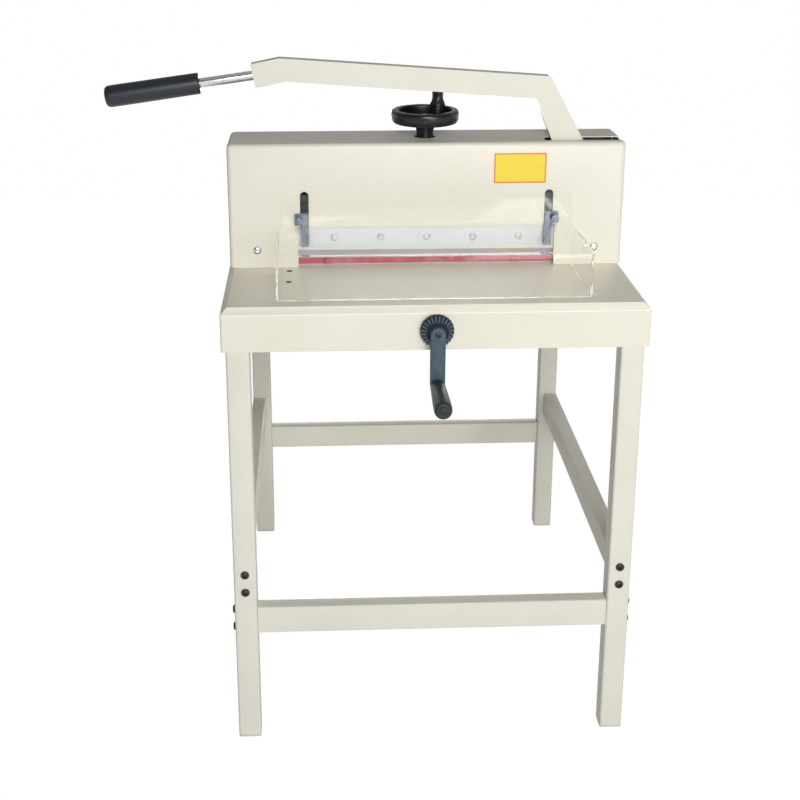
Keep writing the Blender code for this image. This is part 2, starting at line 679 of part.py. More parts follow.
def make_housing():
    # One sheet bent over front, top and sides, open behind and below
    mesh = bpy.data.meshes.new("housing_cover")
    shape = bmesh.new()
    bmesh.ops.create_cube(shape, size=1)
    size = Vector((HOUSING_WIDTH, HOUSING_DEPTH, HOUSING_HEIGHT))
    bmesh.ops.scale(shape, vec=size, verts=shape.verts)
    open_faces = [face for face in shape.faces if round(face.normal.z) < 0 or round(face.normal.y) > 0]
    bmesh.ops.delete(shape, geom=open_faces, context="FACES")
    bends = [line for line in shape.edges if not line.is_boundary]
    bmesh.ops.bevel(shape, geom=bends, offset=HOUSING_BEND, segments=4, affect="EDGES",
                    profile=ROUND_PROFILE)
    shape.to_mesh(mesh)
    shape.free()
    cover = new_object("housing_cover", mesh)
    cover.location = (0, HOUSING_DEPTH / 2, BASE + HOUSING_HEIGHT / 2)
    wall = cover.modifiers.new("Sheet", "SOLIDIFY")
    wall.thickness = SHEET
    wall.offset = -1
    wall.use_even_offset = True

    window = block("window", (-WINDOW_WIDTH / 2, -OVERRUN, BASE - OVERRUN),
                   (WINDOW_WIDTH / 2, SHEET + OVERRUN / 4, BASE + WINDOW_HEIGHT))
    cut(cover, window)
    for side, sign in (("left", -1), ("right", 1)):
        x = sign * SLOT_SPACING / 2
        radius = SLOT_WIDTH / 2
        path = slot((x, BASE + WINDOW_HEIGHT - radius), (x, TABLE_HEIGHT + SLOT_TOP - radius), radius)
        cut(cover, plate(f"guard_slot_{side}", [path], -OVERRUN, SHEET + OVERRUN / 4, "XZ"))
    inner_share, _, _ = LEVER_OUTLINE_SHARES[0]
    left = PIVOT.x + inner_share * LEVER_REACH - LEVER_SLOT_MARGIN
    lever_slot = block("lever_slot", (left, LEVER_FRONT - LEVER_SLOT_PLAY, LID_TOP - LEVER_SLOT_DROP),
                       (HOUSING_WIDTH / 2 + OVERRUN, LEVER_BACK + LEVER_SLOT_PLAY, LID_TOP + OVERRUN))
    lid_hole = round_bar("lid_hole", LID_HOLE_RADIUS, (0, SPINDLE_Y, LID_INSIDE - OVERRUN),
                         (0, SPINDLE_Y, LID_TOP + OVERRUN))
    finish(cut(cover, lever_slot, lid_hole), housing_paint)

    # The rear cover closes the back above the paper's mouth
    side = HOUSING_WIDTH / 2 - SHEET - SEAT
    mouth = FRAME_INNER + SEAT
    bend = HOUSING_BEND
    corners = [(-side, BASE + SEAT, 0), (-mouth, BASE + SEAT, 0),
               (-mouth, BASE + REAR_MOUTH_HEIGHT, 0), (mouth, BASE + REAR_MOUTH_HEIGHT, 0),
               (mouth, BASE + SEAT, 0), (side, BASE + SEAT, 0),
               (side, LID_INSIDE - SEAT, bend), (-side, LID_INSIDE - SEAT, bend)]
    high = HOUSING_DEPTH - SEAT
    finish(plate("rear_cover", [rounded(corners)], high - SHEET, high, "XZ"), housing_paint)


def make_knife():
    # The carrier: a bar with a tail at each end, cut by two slanted guide slots and the yoke slot
    base = TABLE_HEIGHT
    bar_low = base + CARRIER_BAR_BOTTOM
    bar_high = bar_low + CARRIER_BAR_HEIGHT
    tail_low = base + CARRIER_TAIL_BOTTOM
    guide = GUIDE_BOLT_RADIUS + GUIDE_BOLT_PLAY
    run = Vector((KNIFE_SHIFT, -KNIFE_LIFT))
    yoke = ROLLER_RADIUS + ROLLER_PLAY
    bed_half = BED_WIDTH / 2 + CARRIER_BLEND / 3
    left = -GUIDE_BOLT_X_LEFT - guide - CARRIER_WALL
    right = GUIDE_BOLT_X + KNIFE_SHIFT + guide + CARRIER_WALL / 2
    yoke_top = DRIVE_PIN.z + yoke + CARRIER_WALL
    yoke_left = DRIVE_PIN.x - yoke
    yoke_right = DRIVE_PIN.x + KNIFE_SHIFT + yoke
    shoulder = yoke_left - CARRIER_WALL
    left_top = base + CARRIER_LEFT_TOP
    left_shoulder = -GUIDE_BOLT_X_LEFT + guide + KNIFE_SHIFT + CARRIER_WALL
    blend = CARRIER_BLEND
    corners = [(left, tail_low, blend), (-bed_half, tail_low, blend / 2),
               (-bed_half, bar_low, blend / 3), (bed_half, bar_low, blend / 3),
               (bed_half, tail_low, blend / 2), (right, tail_low, blend),
               (right, yoke_top, blend), (shoulder, yoke_top, blend),
               (shoulder - CARRIER_BAR_HEIGHT, bar_high, blend),
               (left_shoulder + CARRIER_BAR_HEIGHT / 2, bar_high, blend),
               (left_shoulder, left_top, blend), (left, left_top, blend)]
    holes = []
    for x in (-GUIDE_BOLT_X_LEFT, GUIDE_BOLT_X):
        top = Vector((x, GUIDE_BOLT_Z))
        holes.append(slot(top, top + run, guide))
    holes.append(rectangle(yoke_left, yoke_right, DRIVE_PIN.z - yoke, DRIVE_PIN.z + yoke, blend / 3))
    carrier = plate("knife_carrier", [rounded(corners)] + holes, CARRIER_FRONT, CARRIER_BACK, "XZ")
    finish(carrier, bright_steel)

    # The knife: a long blade with its bevel in front and its edge at the back
    half = BED_WIDTH / 2 - KNIFE_END_GAP
    top = KNIFE_EDGE + KNIFE_HEIGHT
    land = KNIFE_THICK / 40
    section = [(KNIFE_FRONT, KNIFE_EDGE + KNIFE_BEVEL), (KNIFE_BACK - land, KNIFE_EDGE),
               (KNIFE_BACK, KNIFE_EDGE), (KNIFE_BACK, top), (KNIFE_FRONT, top)]
    finish(plate("knife", [section], -half, half, "YZ"), blade_steel)

    # Shoulder bolts in the frames guide the carrier by its slanted slots
    for side, x in (("left", -GUIDE_BOLT_X_LEFT), ("right", GUIDE_BOLT_X)):
        start = CARRIER_FRONT - SEAT - GUIDE_BOLT_HEAD
        head = CARRIER_FRONT - SEAT
        body = CARRIER_BACK + SEAT
        end = FRAME_FRONT + GUIDE_BOLT_SUNK
        profile = [(0, end - start), (GUIDE_BOLT_BODY_RADIUS, end - start),
                   (GUIDE_BOLT_BODY_RADIUS, body - start), (GUIDE_BOLT_RADIUS, body - start),
                   (GUIDE_BOLT_RADIUS, head - start), (GUIDE_BOLT_HEAD_RADIUS, head - start),
                   (GUIDE_BOLT_HEAD_RADIUS, 0), (0, 0)]
        bolt = turned(f"guide_bolt_{side}", profile, (x, start, GUIDE_BOLT_Z), (0, 1, 0), closed=False)
        finish(bolt, bright_steel)


def make_lever():
    arm = plate("lever_arm", [rounded(lever_outline(), 4)], LEVER_FRONT, LEVER_BACK, "XZ")
    edge(arm, LEVER_EDGE, 1, radians(60))
    front = LEVER_FRONT - OVERRUN
    back = LEVER_BACK + OVERRUN
    bush_radius = PIVOT_RADIUS + RUNNING + BUSH_WALL
    hub_hole = round_bar("hub_hole", bush_radius + RUNNING, (PIVOT.x, front, PIVOT.z),
                         (PIVOT.x, back, PIVOT.z))
    pin_hole = round_bar("drive_pin_hole", DRIVE_PIN_RADIUS + RUNNING, (DRIVE_PIN.x, front, DRIVE_PIN.z),
                         (DRIVE_PIN.x, back, DRIVE_PIN.z), FEW_STEPS)

    # The rod sits in a pocket in the arm's left end, and the grip is pushed over its other end
    shares = LEVER_OUTLINE_SHARES
    tip = Vector(((shares[3][0] + shares[4][0]) / 2 * LEVER_REACH, 0,
                  (shares[3][1] + shares[4][1]) / 2 * LEVER_RISE)) + PIVOT
    away = Vector((-cos(ROD_SLOPE), 0, -sin(ROD_SLOPE)))
    pocket = round_bar("rod_pocket", ROD_RADIUS + SEAT, tip - away * (ROD_POCKET + SEAT),
                       tip + away * ROD_POCKET, FEW_STEPS)
    finish(cut(arm, hub_hole, pin_hole, pocket), lever_paint)

    rod = round_bar("lever_rod", ROD_RADIUS, tip - away * ROD_POCKET,
                    tip + away * (ROD_SHOWING + GRIP_BORE_DEPTH - SEAT), FEW_STEPS)
    finish(rod, bright_steel)
    r = GRIP_RADIUS
    bore = ROD_RADIUS + SEAT
    length = GRIP_LENGTH
    nose = [(r * cos(a), length - r / 2 + r / 2 * sin(a)) for a in
            [radians(75), radians(50), radians(25), 0]]
    profile = [(0, length)] + nose + [(r * 0.97, length * 0.5), (r * 0.96, r * 0.3), (r * 0.92, r * 0.12),
                                      (r * 0.8, 0), (bore, 0), (bore, GRIP_BORE_DEPTH),
                                      (0, GRIP_BORE_DEPTH)]
    grip = turned("lever_grip", profile, tip + away * ROD_SHOWING, away, closed=False)
    finish(grip, black_plastic)

    bush = turned("lever_bush", tube_profile(PIVOT_RADIUS + RUNNING, bush_radius, 0, LEVER_THICK),
                  (PIVOT.x, LEVER_FRONT, PIVOT.z), (0, 1, 0))
    finish(bush, bronze)

    # The pivot shaft has a head in front of the lever and a collar behind the frame
    frame_back = FRAME_FRONT + FRAME_DEPTH
    start = LEVER_FRONT - SEAT - PIVOT_HEAD
    end = frame_back + SEAT + COLLAR_LENGTH
    head = PIVOT_HEAD
    profile = [(0, end - start), (PIVOT_RADIUS, end - start), (PIVOT_RADIUS, head),
               (PIVOT_HEAD_RADIUS, head), (PIVOT_HEAD_RADIUS, 0), (0, 0)]
    finish(turned("pivot_shaft", profile, (PIVOT.x, start, PIVOT.z), (0, 1, 0), closed=False),
           bright_steel)
    collar = turned("pivot_collar", tube_profile(PIVOT_RADIUS + SEAT, PIVOT_RADIUS + COLLAR_WALL, 0,
                                                 COLLAR_LENGTH),
                    (PIVOT.x, frame_back + SEAT, PIVOT.z), (0, 1, 0))
    finish(collar, bright_steel)

    # The drive pin carries a roller that runs in the carrier's yoke slot
    start = CARRIER_FRONT + SEAT
    profile = [(0, LEVER_BACK - start), (DRIVE_PIN_RADIUS, LEVER_BACK - start),
               (DRIVE_PIN_RADIUS, ROLLER_HEAD), (ROLLER_HEAD_RADIUS, ROLLER_HEAD),
               (ROLLER_HEAD_RADIUS, 0), (0, 0)]
    finish(turned("drive_pin", profile, (DRIVE_PIN.x, start, DRIVE_PIN.z), (0, 1, 0), FEW_STEPS,
                  closed=False), bright_steel)
    end = CARRIER_BACK - start
    sunk = ROLLER_HEAD + SEAT
    profile = [(DRIVE_PIN_RADIUS + RUNNING, end), (ROLLER_RADIUS, end), (ROLLER_RADIUS, 0),
               (ROLLER_HEAD_RADIUS + RUNNING, 0), (ROLLER_HEAD_RADIUS + RUNNING, sunk),
               (DRIVE_PIN_RADIUS + RUNNING, sunk)]
    finish(turned("drive_roller", profile, (DRIVE_PIN.x, start, DRIVE_PIN.z), (0, 1, 0)), bright_steel)


def tube_profile(inner, outer, low, high):
    return [(inner, high), (outer, high), (outer, low), (inner, low)]


def make_clamp():
    # The clamp: a wide sole under a web that narrows towards its ends, with the nut's boss
    half = BED_WIDTH / 2 - CLAMP_END_GAP + SEAT
    front = CLAMP_FRONT
    back = CLAMP_FRONT + CLAMP_DEPTH
    sole_top = CLAMP_BOTTOM + CLAMP_SOLE
    clamp = block("clamp_bar", (-half, front, CLAMP_BOTTOM), (half, back, sole_top))
    edge(clamp, CLAMP_SOLE / 10, 1)
    web_half = DRIVE_PIN.x - LEVER_EAR_RADIUS - CRANK_RADIUS / 2
    corners = [(-web_half, sole_top - OVERRUN, 0), (web_half, sole_top - OVERRUN, 0),
               (web_half, sole_top + CLAMP_SOLE / 4, CLAMP_SOLE / 4),
               (CLAMP_BOSS_RADIUS * 2, CLAMP_TOP, CLAMP_SOLE), (-CLAMP_BOSS_RADIUS * 2, CLAMP_TOP, CLAMP_SOLE),
               (-web_half, sole_top + CLAMP_SOLE / 4, CLAMP_SOLE / 4)]
    web = plate("clamp_web", [rounded(corners, 3)], SPINDLE_Y - CLAMP_WEB / 2,
                SPINDLE_Y + CLAMP_WEB / 2, "XZ")
    boss = round_bar("clamp_boss", CLAMP_BOSS_RADIUS, (0, SPINDLE_Y, sole_top - OVERRUN),
                     (0, SPINDLE_Y, CLAMP_TOP))
    join(clamp, web, boss)
    step = NUT_LENGTH + SEAT
    bore = SPINDLE_RADIUS + BUSH_WALL / 2
    depth = CLAMP_HEIGHT - CLAMP_FLOOR
    profile = [(0, OVERRUN), (NUT_RADIUS + RUNNING, OVERRUN), (NUT_RADIUS + RUNNING, -step), (bore, -step),
               (bore, -depth), (0, -depth)]
    cutter = turned("clamp_bore", profile, (0, SPINDLE_Y, CLAMP_TOP), closed=False)
    finish(cut(clamp, cutter), cast_paint)

    low = CLAMP_TOP - NUT_LENGTH
    high = CLAMP_TOP + SEAT
    hole = SPINDLE_RADIUS + RUNNING
    profile = [(hole, NUT_FLANGE), (NUT_FLANGE_RADIUS, NUT_FLANGE), (NUT_FLANGE_RADIUS, 0),
               (NUT_RADIUS, 0), (NUT_RADIUS, low - high), (hole, low - high)]
    finish(turned("clamp_nut", profile, (0, SPINDLE_Y, high)), bronze)

    # The spindle turns in the crossbeam's bush and doesn't rise, so the nut lifts the clamp
    bottom = CLAMP_BOTTOM + CLAMP_FLOOR + OVERRUN
    top = HUB_TOP + CAP_HEIGHT * 0.6
    spindle = round_bar("clamp_spindle", SPINDLE_RADIUS, (0, SPINDLE_Y, bottom), (0, SPINDLE_Y, top))
    finish(spindle, bright_steel)
    flange = BEAM_TOP + SEAT
    profile = [(hole, SPINDLE_BUSH_FLANGE), (SPINDLE_BUSH_FLANGE_RADIUS, SPINDLE_BUSH_FLANGE),
               (SPINDLE_BUSH_FLANGE_RADIUS, 0), (SPINDLE_BUSH_RADIUS, 0),
               (SPINDLE_BUSH_RADIUS, -BEAM_HEIGHT - SEAT), (hole, -BEAM_HEIGHT - SEAT)]
    finish(turned("spindle_bush", profile, (0, SPINDLE_Y, flange)), bronze)
    make_wheel(flange + SPINDLE_BUSH_FLANGE + SEAT)


def make_wheel(hub_bottom):
    # A moulded wheel: a deep rim that narrows below, three low spokes, a seat for the knob, and a
    # hub that reaches down through the lid
    outer = WHEEL_RADIUS
    inner = WHEEL_RADIUS - WHEEL_RIM_WIDTH
    width = WHEEL_RIM_WIDTH
    corners = [(inner, WHEEL_TOP, width * 0.25), (outer, WHEEL_TOP, width * 0.38),
               (outer, WHEEL_BOTTOM + WHEEL_RIM * 0.36, width * 0.5),
               (outer - width * 0.32, WHEEL_BOTTOM, width * 0.3), (inner, WHEEL_BOTTOM, width * 0.2)]
    profile = [(u, v - WHEEL_BOTTOM) for u, v in rounded(corners, 2)]
    wheel = turned("handwheel", profile, (0, SPINDLE_Y, WHEEL_BOTTOM), steps=FINE_STEPS)
    hole = SPINDLE_RADIUS + SEAT
    hub = turned("wheel_hub", tube_profile(hole, WHEEL_HUB_RADIUS, hub_bottom, HUB_TOP),
                 (0, SPINDLE_Y, 0))
    low = WHEEL_BOTTOM + WHEEL_SPOKE / 8
    reach = (inner + outer) / 2
    start = (hole + WHEEL_HUB_RADIUS) / 2
    for number in range(3):
        turn = KNOB_ANGLE + 2 * pi * number / 3
        spoke = block(f"wheel_spoke_{number + 1}", (start, -WHEEL_SPOKE_WIDTH / 2, low),
                      (reach, WHEEL_SPOKE_WIDTH / 2, low + WHEEL_SPOKE))
        middle = spoke.location.copy()
        spoke.rotation_euler = (0, 0, turn)
        spoke.location = (middle.x * cos(turn), SPINDLE_Y + middle.x * sin(turn), middle.z)
        join(wheel, spoke)
    join(wheel, hub)
    knob_x = KNOB_ORBIT * cos(KNOB_ANGLE)
    knob_y = SPINDLE_Y + KNOB_ORBIT * sin(KNOB_ANGLE)
    join(wheel, round_bar("knob_seat", KNOB_FOOT_RADIUS - KNOB_SEAT_INSET * 2, (knob_x, knob_y, low),
                          (knob_x, knob_y, WHEEL_TOP)))
    pin_hole = round_bar("knob_pin_hole", KNOB_PIN_RADIUS + SEAT, (knob_x, knob_y, WHEEL_TOP - WHEEL_RIM / 2),
                         (knob_x, knob_y, WHEEL_TOP + OVERRUN), FEW_STEPS)
    finish(cut(wheel, pin_hole), black_plastic)

    # A cap nut holds the wheel on its spindle
    blind = CAP_HEIGHT * 0.7
    nut = [(0, CAP_HEIGHT), (CAP_RADIUS * 0.7, CAP_HEIGHT * 0.9), (CAP_RADIUS, CAP_HEIGHT * 0.6),
           (CAP_RADIUS, SEAT), (hole, SEAT), (hole, blind), (0, blind)]
    finish(turned("spindle_nut", nut, (0, SPINDLE_Y, HUB_TOP), steps=STEPS, closed=False), bright_steel)

    # The knob turns on its own pin
    r = KNOB_RADIUS
    foot = KNOB_FOOT_RADIUS
    h = KNOB_HEIGHT
    bore = KNOB_PIN_RADIUS + RUNNING
    head_depth = h * 0.12
    head = KNOB_PIN_RADIUS * 1.7
    profile = [(head + RUNNING, h), (r * 0.85, h), (r, h * 0.92), (r * 1.02, h * 0.62), (r * 0.86, h * 0.4),
               (r * 0.95, h * 0.2), (foot * 0.9, h * 0.07), (foot, 0), (bore, 0),
               (bore, h - head_depth - SEAT), (head + RUNNING, h - head_depth - SEAT)]
    finish(turned("handwheel_knob", profile, (knob_x, knob_y, WHEEL_TOP + SEAT)), black_plastic)
    low = WHEEL_TOP - WHEEL_RIM / 2 + SEAT
    high = WHEEL_TOP + SEAT + h - SEAT
    profile = [(0, high), (head, high), (head, high - head_depth), (KNOB_PIN_RADIUS, high - head_depth),
               (KNOB_PIN_RADIUS, low), (0, low)]
    finish(turned("knob_pin", profile, (knob_x, knob_y, 0), steps=FEW_STEPS, closed=False), bright_steel)


def make_guard():
    # The hood: a clear box open below and behind, with a flange that stands in front of the panel
    mesh = bpy.data.meshes.new("guard_hood")
    shape = bmesh.new()
    bmesh.ops.create_cube(shape, size=1)
    size = Vector((HOOD_WIDTH, FLANGE_BACK - HOOD_FRONT, HOOD_HEIGHT - SEAT))
    bmesh.ops.scale(shape, vec=size, verts=shape.verts)
    open_faces = [face for face in shape.faces if round(face.normal.z) < 0 or round(face.normal.y) > 0]
    bmesh.ops.delete(shape, geom=open_faces, context="FACES")
    bends = [line for line in shape.edges if not line.is_boundary]
    bmesh.ops.bevel(shape, geom=bends, offset=HOOD_BEND, segments=3, affect="EDGES",
                    profile=ROUND_PROFILE)
    shape.to_mesh(mesh)
    shape.free()
    hood = new_object("guard_hood", mesh)
    hood.location = (0, (HOOD_FRONT + FLANGE_BACK) / 2, HOOD_TOP - (HOOD_HEIGHT - SEAT) / 2)
    wall = hood.modifiers.new("Sheet", "SOLIDIFY")
    wall.thickness = HOOD_THICK
    wall.offset = -1
    wall.use_even_offset = True
    half = HOOD_WIDTH / 2
    corner = HOOD_BEND * 2
    outline = [(-half + HOOD_BEND, HOOD_TOP - HOOD_THICK, 0), (half - HOOD_BEND, HOOD_TOP - HOOD_THICK, 0),
               (half - HOOD_BEND, HOOD_TOP + HOOD_FLANGE, corner),
               (-half + HOOD_BEND, HOOD_TOP + HOOD_FLANGE, corner)]
    join(hood, plate("hood_flange", [rounded(outline)], FLANGE_FRONT, FLANGE_BACK, "XZ"))

    for side, sign in (("left", -1), ("right", 1)):
        x = sign * SLOT_SPACING / 2
        plate_x = x + sign * BRACKET_PLATE_OFFSET
        knob_x = x + sign * GUARD_SCREW_HEAD_OFFSET
        top = HOOD_TOP + BRACKET_PLATE_HEIGHT - SEAT
        knob_z = top - BRACKET_PLATE_HEIGHT / 2
        screw_hole = GUARD_SCREW_RADIUS + RUNNING
        front = FLANGE_BACK + SEAT
        half = BRACKET_WIDTH / 2
        # The bar's round top clears the slot's round end when the hood is fully up
        low = top - BRACKET_HEIGHT
        path = rounded([(x - half, low, 0), (x + half, low, 0), (x + half, top, half * 0.98),
                        (x - half, top, half * 0.98)])
        bracket = plate(f"guard_bracket_{side}", [path], front, SHEET + SEAT + BRACKET_BACK_THICK / 2, "XZ")
        half = BRACKET_PLATE_WIDTH / 2
        wide = block(f"bracket_plate_{side}", (plate_x - half, front, top - BRACKET_PLATE_HEIGHT),
                     (plate_x + half, -SEAT, top))
        half = BRACKET_BACK_WIDTH / 2
        back = block(f"bracket_back_{side}", (x - half, SHEET + SEAT, top - BRACKET_PLATE_HEIGHT + SEAT),
                     (x + half, SHEET + SEAT + BRACKET_BACK_THICK, top - SEAT))
        join(bracket, wide, back)
        hole = round_bar(f"bracket_screw_hole_{side}", screw_hole, (knob_x, front - OVERRUN, knob_z),
                         (knob_x, OVERRUN / 8, knob_z), FEW_STEPS)
        finish(cut(bracket, hole), bright_steel)
        flange_hole = round_bar(f"flange_screw_hole_{side}", screw_hole,
                                (knob_x, FLANGE_FRONT - OVERRUN, knob_z),
                                (knob_x, FLANGE_BACK + OVERRUN, knob_z), FEW_STEPS)
        cut(hood, flange_hole)
        seat = FLANGE_FRONT - SEAT
        r = GUARD_SCREW_HEAD_RADIUS
        length = GUARD_SCREW_HEAD_LENGTH
        reach = -SEAT * 2 - seat
        profile = [(0, reach), (GUARD_SCREW_RADIUS, reach), (GUARD_SCREW_RADIUS, 0), (r * 0.75, 0),
                   (r * 0.8, -length * 0.3), (r, -length * 0.4), (r, -length * 0.9), (r * 0.8, -length),
                   (0, -length)]
        finish(turned(f"guard_screw_{side}", profile, (knob_x, seat, knob_z), (0, 1, 0), FEW_STEPS,
                      closed=False), bright_steel)
    finish(hood, clear_plastic)


def make_gauge():
    # The bearings of the lead screw: one in the front skirt and rail, one in the rear rail
    front = TABLE_FRONT - SEAT
    length = FRONT_RAIL_Y + STRETCHER_THICK / 2 - front
    hole = SCREW_FRONT_RADIUS + RUNNING
    profile = [(hole, length), (BEARING_RADIUS, length), (BEARING_RADIUS, 0), (BEARING_FLANGE_RADIUS, 0),
               (BEARING_FLANGE_RADIUS, -BEARING_FLANGE), (hole, -BEARING_FLANGE)]
    finish(turned("leadscrew_bush_front", profile, (0, front, SCREW_Z), (0, 1, 0)), bronze)
    rear = REAR_RAIL_Y - STRETCHER_THICK / 2 - SEAT
    length = STRETCHER_THICK + SEAT
    hole = SCREW_REAR_RADIUS + RUNNING
    profile = [(hole, length), (BEARING_RADIUS, length), (BEARING_RADIUS, 0), (BEARING_FLANGE_RADIUS, 0),
               (BEARING_FLANGE_RADIUS, -BEARING_FLANGE), (hole, -BEARING_FLANGE)]
    finish(turned("leadscrew_bush_rear", profile, (0, rear, SCREW_Z), (0, 1, 0)), bronze)

    screw_start = FRONT_RAIL_Y + STRETCHER_THICK / 2 + SEAT
    screw_end = rear - BEARING_FLANGE - SEAT
    shaft_end = REAR_RAIL_Y + STRETCHER_THICK / 2 - SEAT
    shaft_start = ARM_FRONT + SEAT
    profile = [(0, shaft_end), (SCREW_REAR_RADIUS, shaft_end), (SCREW_REAR_RADIUS, screw_end),
               (SCREW_RADIUS, screw_end), (SCREW_RADIUS, screw_start), (SCREW_FRONT_RADIUS, screw_start),
               (SCREW_FRONT_RADIUS, shaft_start), (0, shaft_start)]
    finish(turned("leadscrew", profile, (0, 0, SCREW_Z), (0, 1, 0), closed=False), bright_steel)

    # The dial's rim is fluted, and the crank arm is a bar with two round ends
    hole = SCREW_FRONT_RADIUS + SEAT
    count = DIAL_FLUTES * 4
    rim = []
    for i in range(count):
        turn = 2 * pi * i / count
        r = DIAL_RADIUS - DIAL_FLUTE_DEPTH / 2 * (1 - cos(turn * DIAL_FLUTES))
        rim.append((r * cos(turn), SCREW_Z + r * sin(turn)))
    dial = plate("crank_dial", [rim, circle(0, SCREW_Z, hole)], DIAL_FRONT, DIAL_BACK, "XZ")
    finish(dial, black_plastic)
    grip_z = SCREW_Z - ARM_CENTRES
    arm = plate("crank_arm", [slot((0, grip_z), (0, SCREW_Z), ARM_WIDTH / 2, 10), circle(0, SCREW_Z, hole),
                              circle(0, grip_z, CRANK_PIN_RADIUS + SEAT, FEW_STEPS)],
                ARM_FRONT, ARM_BACK, "XZ")
    finish(edge(arm, ARM_THICK / 10, 1, radians(60)), slate_plastic)

    # The grip turns on a pin whose head is sunk in the grip's front end
    r = CRANK_GRIP_RADIUS
    neck = CRANK_GRIP_NECK
    length = CRANK_GRIP_LENGTH
    hole = CRANK_PIN_RADIUS + RUNNING
    head = CRANK_PIN_HEAD_RADIUS + RUNNING
    sunk = CRANK_PIN_HEAD + SEAT
    profile = [(hole, 0), (neck * 0.9, 0), (neck, -length * 0.02), (neck, -length * 0.3),
               (r, -length * 0.75), (r, -length * 0.93), (r * 0.93, -length * 0.975), (r * 0.75, -length),
               (head, -length), (head, -length + sunk), (hole, -length + sunk)]
    finish(turned("crank_grip", profile, (0, CRANK_GRIP_BACK, grip_z), (0, 1, 0)), slate_plastic)
    start = CRANK_GRIP_FRONT + SEAT
    end = ARM_BACK - SEAT - start
    profile = [(0, end), (CRANK_PIN_RADIUS, end), (CRANK_PIN_RADIUS, CRANK_PIN_HEAD - SEAT),
               (CRANK_PIN_HEAD_RADIUS, CRANK_PIN_HEAD - SEAT), (CRANK_PIN_HEAD_RADIUS, 0), (0, 0)]
    finish(turned("crank_grip_pin", profile, (0, start, grip_z), (0, 1, 0), FEW_STEPS, closed=False),
           bright_steel)

    # The carriage is the screw's nut, with a neck through the slot up to the gauge
    low = GAUGE_REST + GAUGE_THICK / 2
    high = low + CARRIAGE_LENGTH
    half = CARRIAGE_WIDTH / 2
    neck = CARRIAGE_NECK / 2
    bottom = SCREW_Z - CARRIAGE_BELOW_SCREW
    shoulder = CASING_INSIDE - SEAT
    outline = [(-half, bottom, SEAT * 5), (half, bottom, SEAT * 5), (half, shoulder, 0), (neck, shoulder, 0),
               (neck, BED_TOP, 0), (-neck, BED_TOP, 0), (-neck, shoulder, 0), (-half, shoulder, 0)]
    nut = plate("gauge_carriage", [rounded(outline, 2), circle(0, SCREW_Z, SCREW_RADIUS + RUNNING)],
                low, high, "XZ")
    finish(nut, bronze)

    # The back gauge: an angle bar across the bed, stiffened by ribs
    half = BED_WIDTH / 2 - GUIDE_WIDTH - GAUGE_END_GAP - SEAT
    face = GAUGE_REST
    foot = BED_TOP + SEAT
    outline = [(face, foot), (face + GAUGE_FOOT, foot), (face + GAUGE_FOOT, foot + GAUGE_THICK),
               (face + GAUGE_THICK, foot + GAUGE_THICK), (face + GAUGE_THICK, foot + GAUGE_HEIGHT),
               (face, foot + GAUGE_HEIGHT)]
    gauge = plate("back_gauge", [outline], -half, half, "YZ")
    count = int(half / GAUGE_RIB_STEP)
    inside = GAUGE_THICK / 2
    rib = [(face + inside, foot + inside), (face + GAUGE_FOOT - inside, foot + inside),
           (face + GAUGE_FOOT - inside, foot + GAUGE_THICK), (face + GAUGE_THICK, foot + GAUGE_HEIGHT - inside),
           (face + inside, foot + GAUGE_HEIGHT - inside)]
    for number in range(-count, count + 1):
        x = number * GAUGE_RIB_STEP
        join(gauge, plate(f"gauge_rib_{number + count + 1}", [rib], x - GAUGE_RIB / 2,
                          x + GAUGE_RIB / 2, "YZ"))
    finish(gauge, machined_steel)


def finish(thing, look):
    thing.data.materials.clear()
    thing.data.materials.append(look)
    return thing


def place(moving):
    # Everything hangs under one root; each moving piece hangs under an empty on its joint's axis
    low = Vector((1, 1, 1)) * TABLE_HEIGHT
    high = -low
    graph = bpy.context.evaluated_depsgraph_get()
    for thing in parts.objects:
        shown = thing.evaluated_get(graph)
        for vertex in shown.to_mesh().vertices:
            point = shown.matrix_world @ vertex.co
            low = Vector(map(min, low, point))
            high = Vector(map(max, high, point))
        shown.to_mesh_clear()
    shift = Vector((-(low.x + high.x) / 2, -(low.y + high.y) / 2, -low.z))
    root = bpy.data.objects.new("cutter_root", None)
    parts.objects.link(root)
    root.location = shift
    loose = [thing for thing in list(parts.objects) + list(cutters.objects) if thing != root]
    print("moved by", [round(v, 6) for v in shift], "size", [round(v, 6) for v in high - low])
    for joint, (spot, names) in moving.items():
        handle = bpy.data.objects.new(joint, None)
        parts.objects.link(handle)
        handle.parent = root
        handle.location = spot
        print(joint, [round(v, 6) for v in spot + shift])
        for name in names:
            thing = bpy.data.objects[name]
            thing.parent = handle
            thing.matrix_parent_inverse = Matrix.Translation(-spot)
            loose.remove(thing)
    for thing in loose:
        thing.parent = root


clear_scene()
parts = collection("Stack paper cutter")
cutters = collection("Cutters")

housing_paint = material("cream paint", (0.81, 0.78, 0.67), 0.35)
table_paint = material("cream table paint", (0.78, 0.75, 0.65), 0.38)
lever_paint = material("cream lever paint", (0.80, 0.78, 0.66), 0.33)
leg_paint = material("grey cream paint", (0.66, 0.65, 0.58), 0.42)
cast_paint = material("grey casting", (0.36, 0.38, 0.38), 0.6, 0.3)
machined_steel = material("machined steel", (0.60, 0.60, 0.58), 0.35, 1.0)
bright_steel = material("bright steel", (0.68, 0.69, 0.70), 0.25, 1.0)
blade_steel = material("blade steel", (0.75, 0.76, 0.78), 0.18, 1.0)
bronze = material("bronze", (0.62, 0.45, 0.22), 0.4, 1.0)
black_plastic = material("black plastic", (0.012, 0.015, 0.02), 0.3)
slate_plastic = material("slate grey plastic", (0.07, 0.10, 0.13), 0.45)
red_plastic = material("red plastic", (0.50, 0.04, 0.06), 0.4)
pale_plastic = material("pale plastic", (0.70, 0.70, 0.66), 0.5)
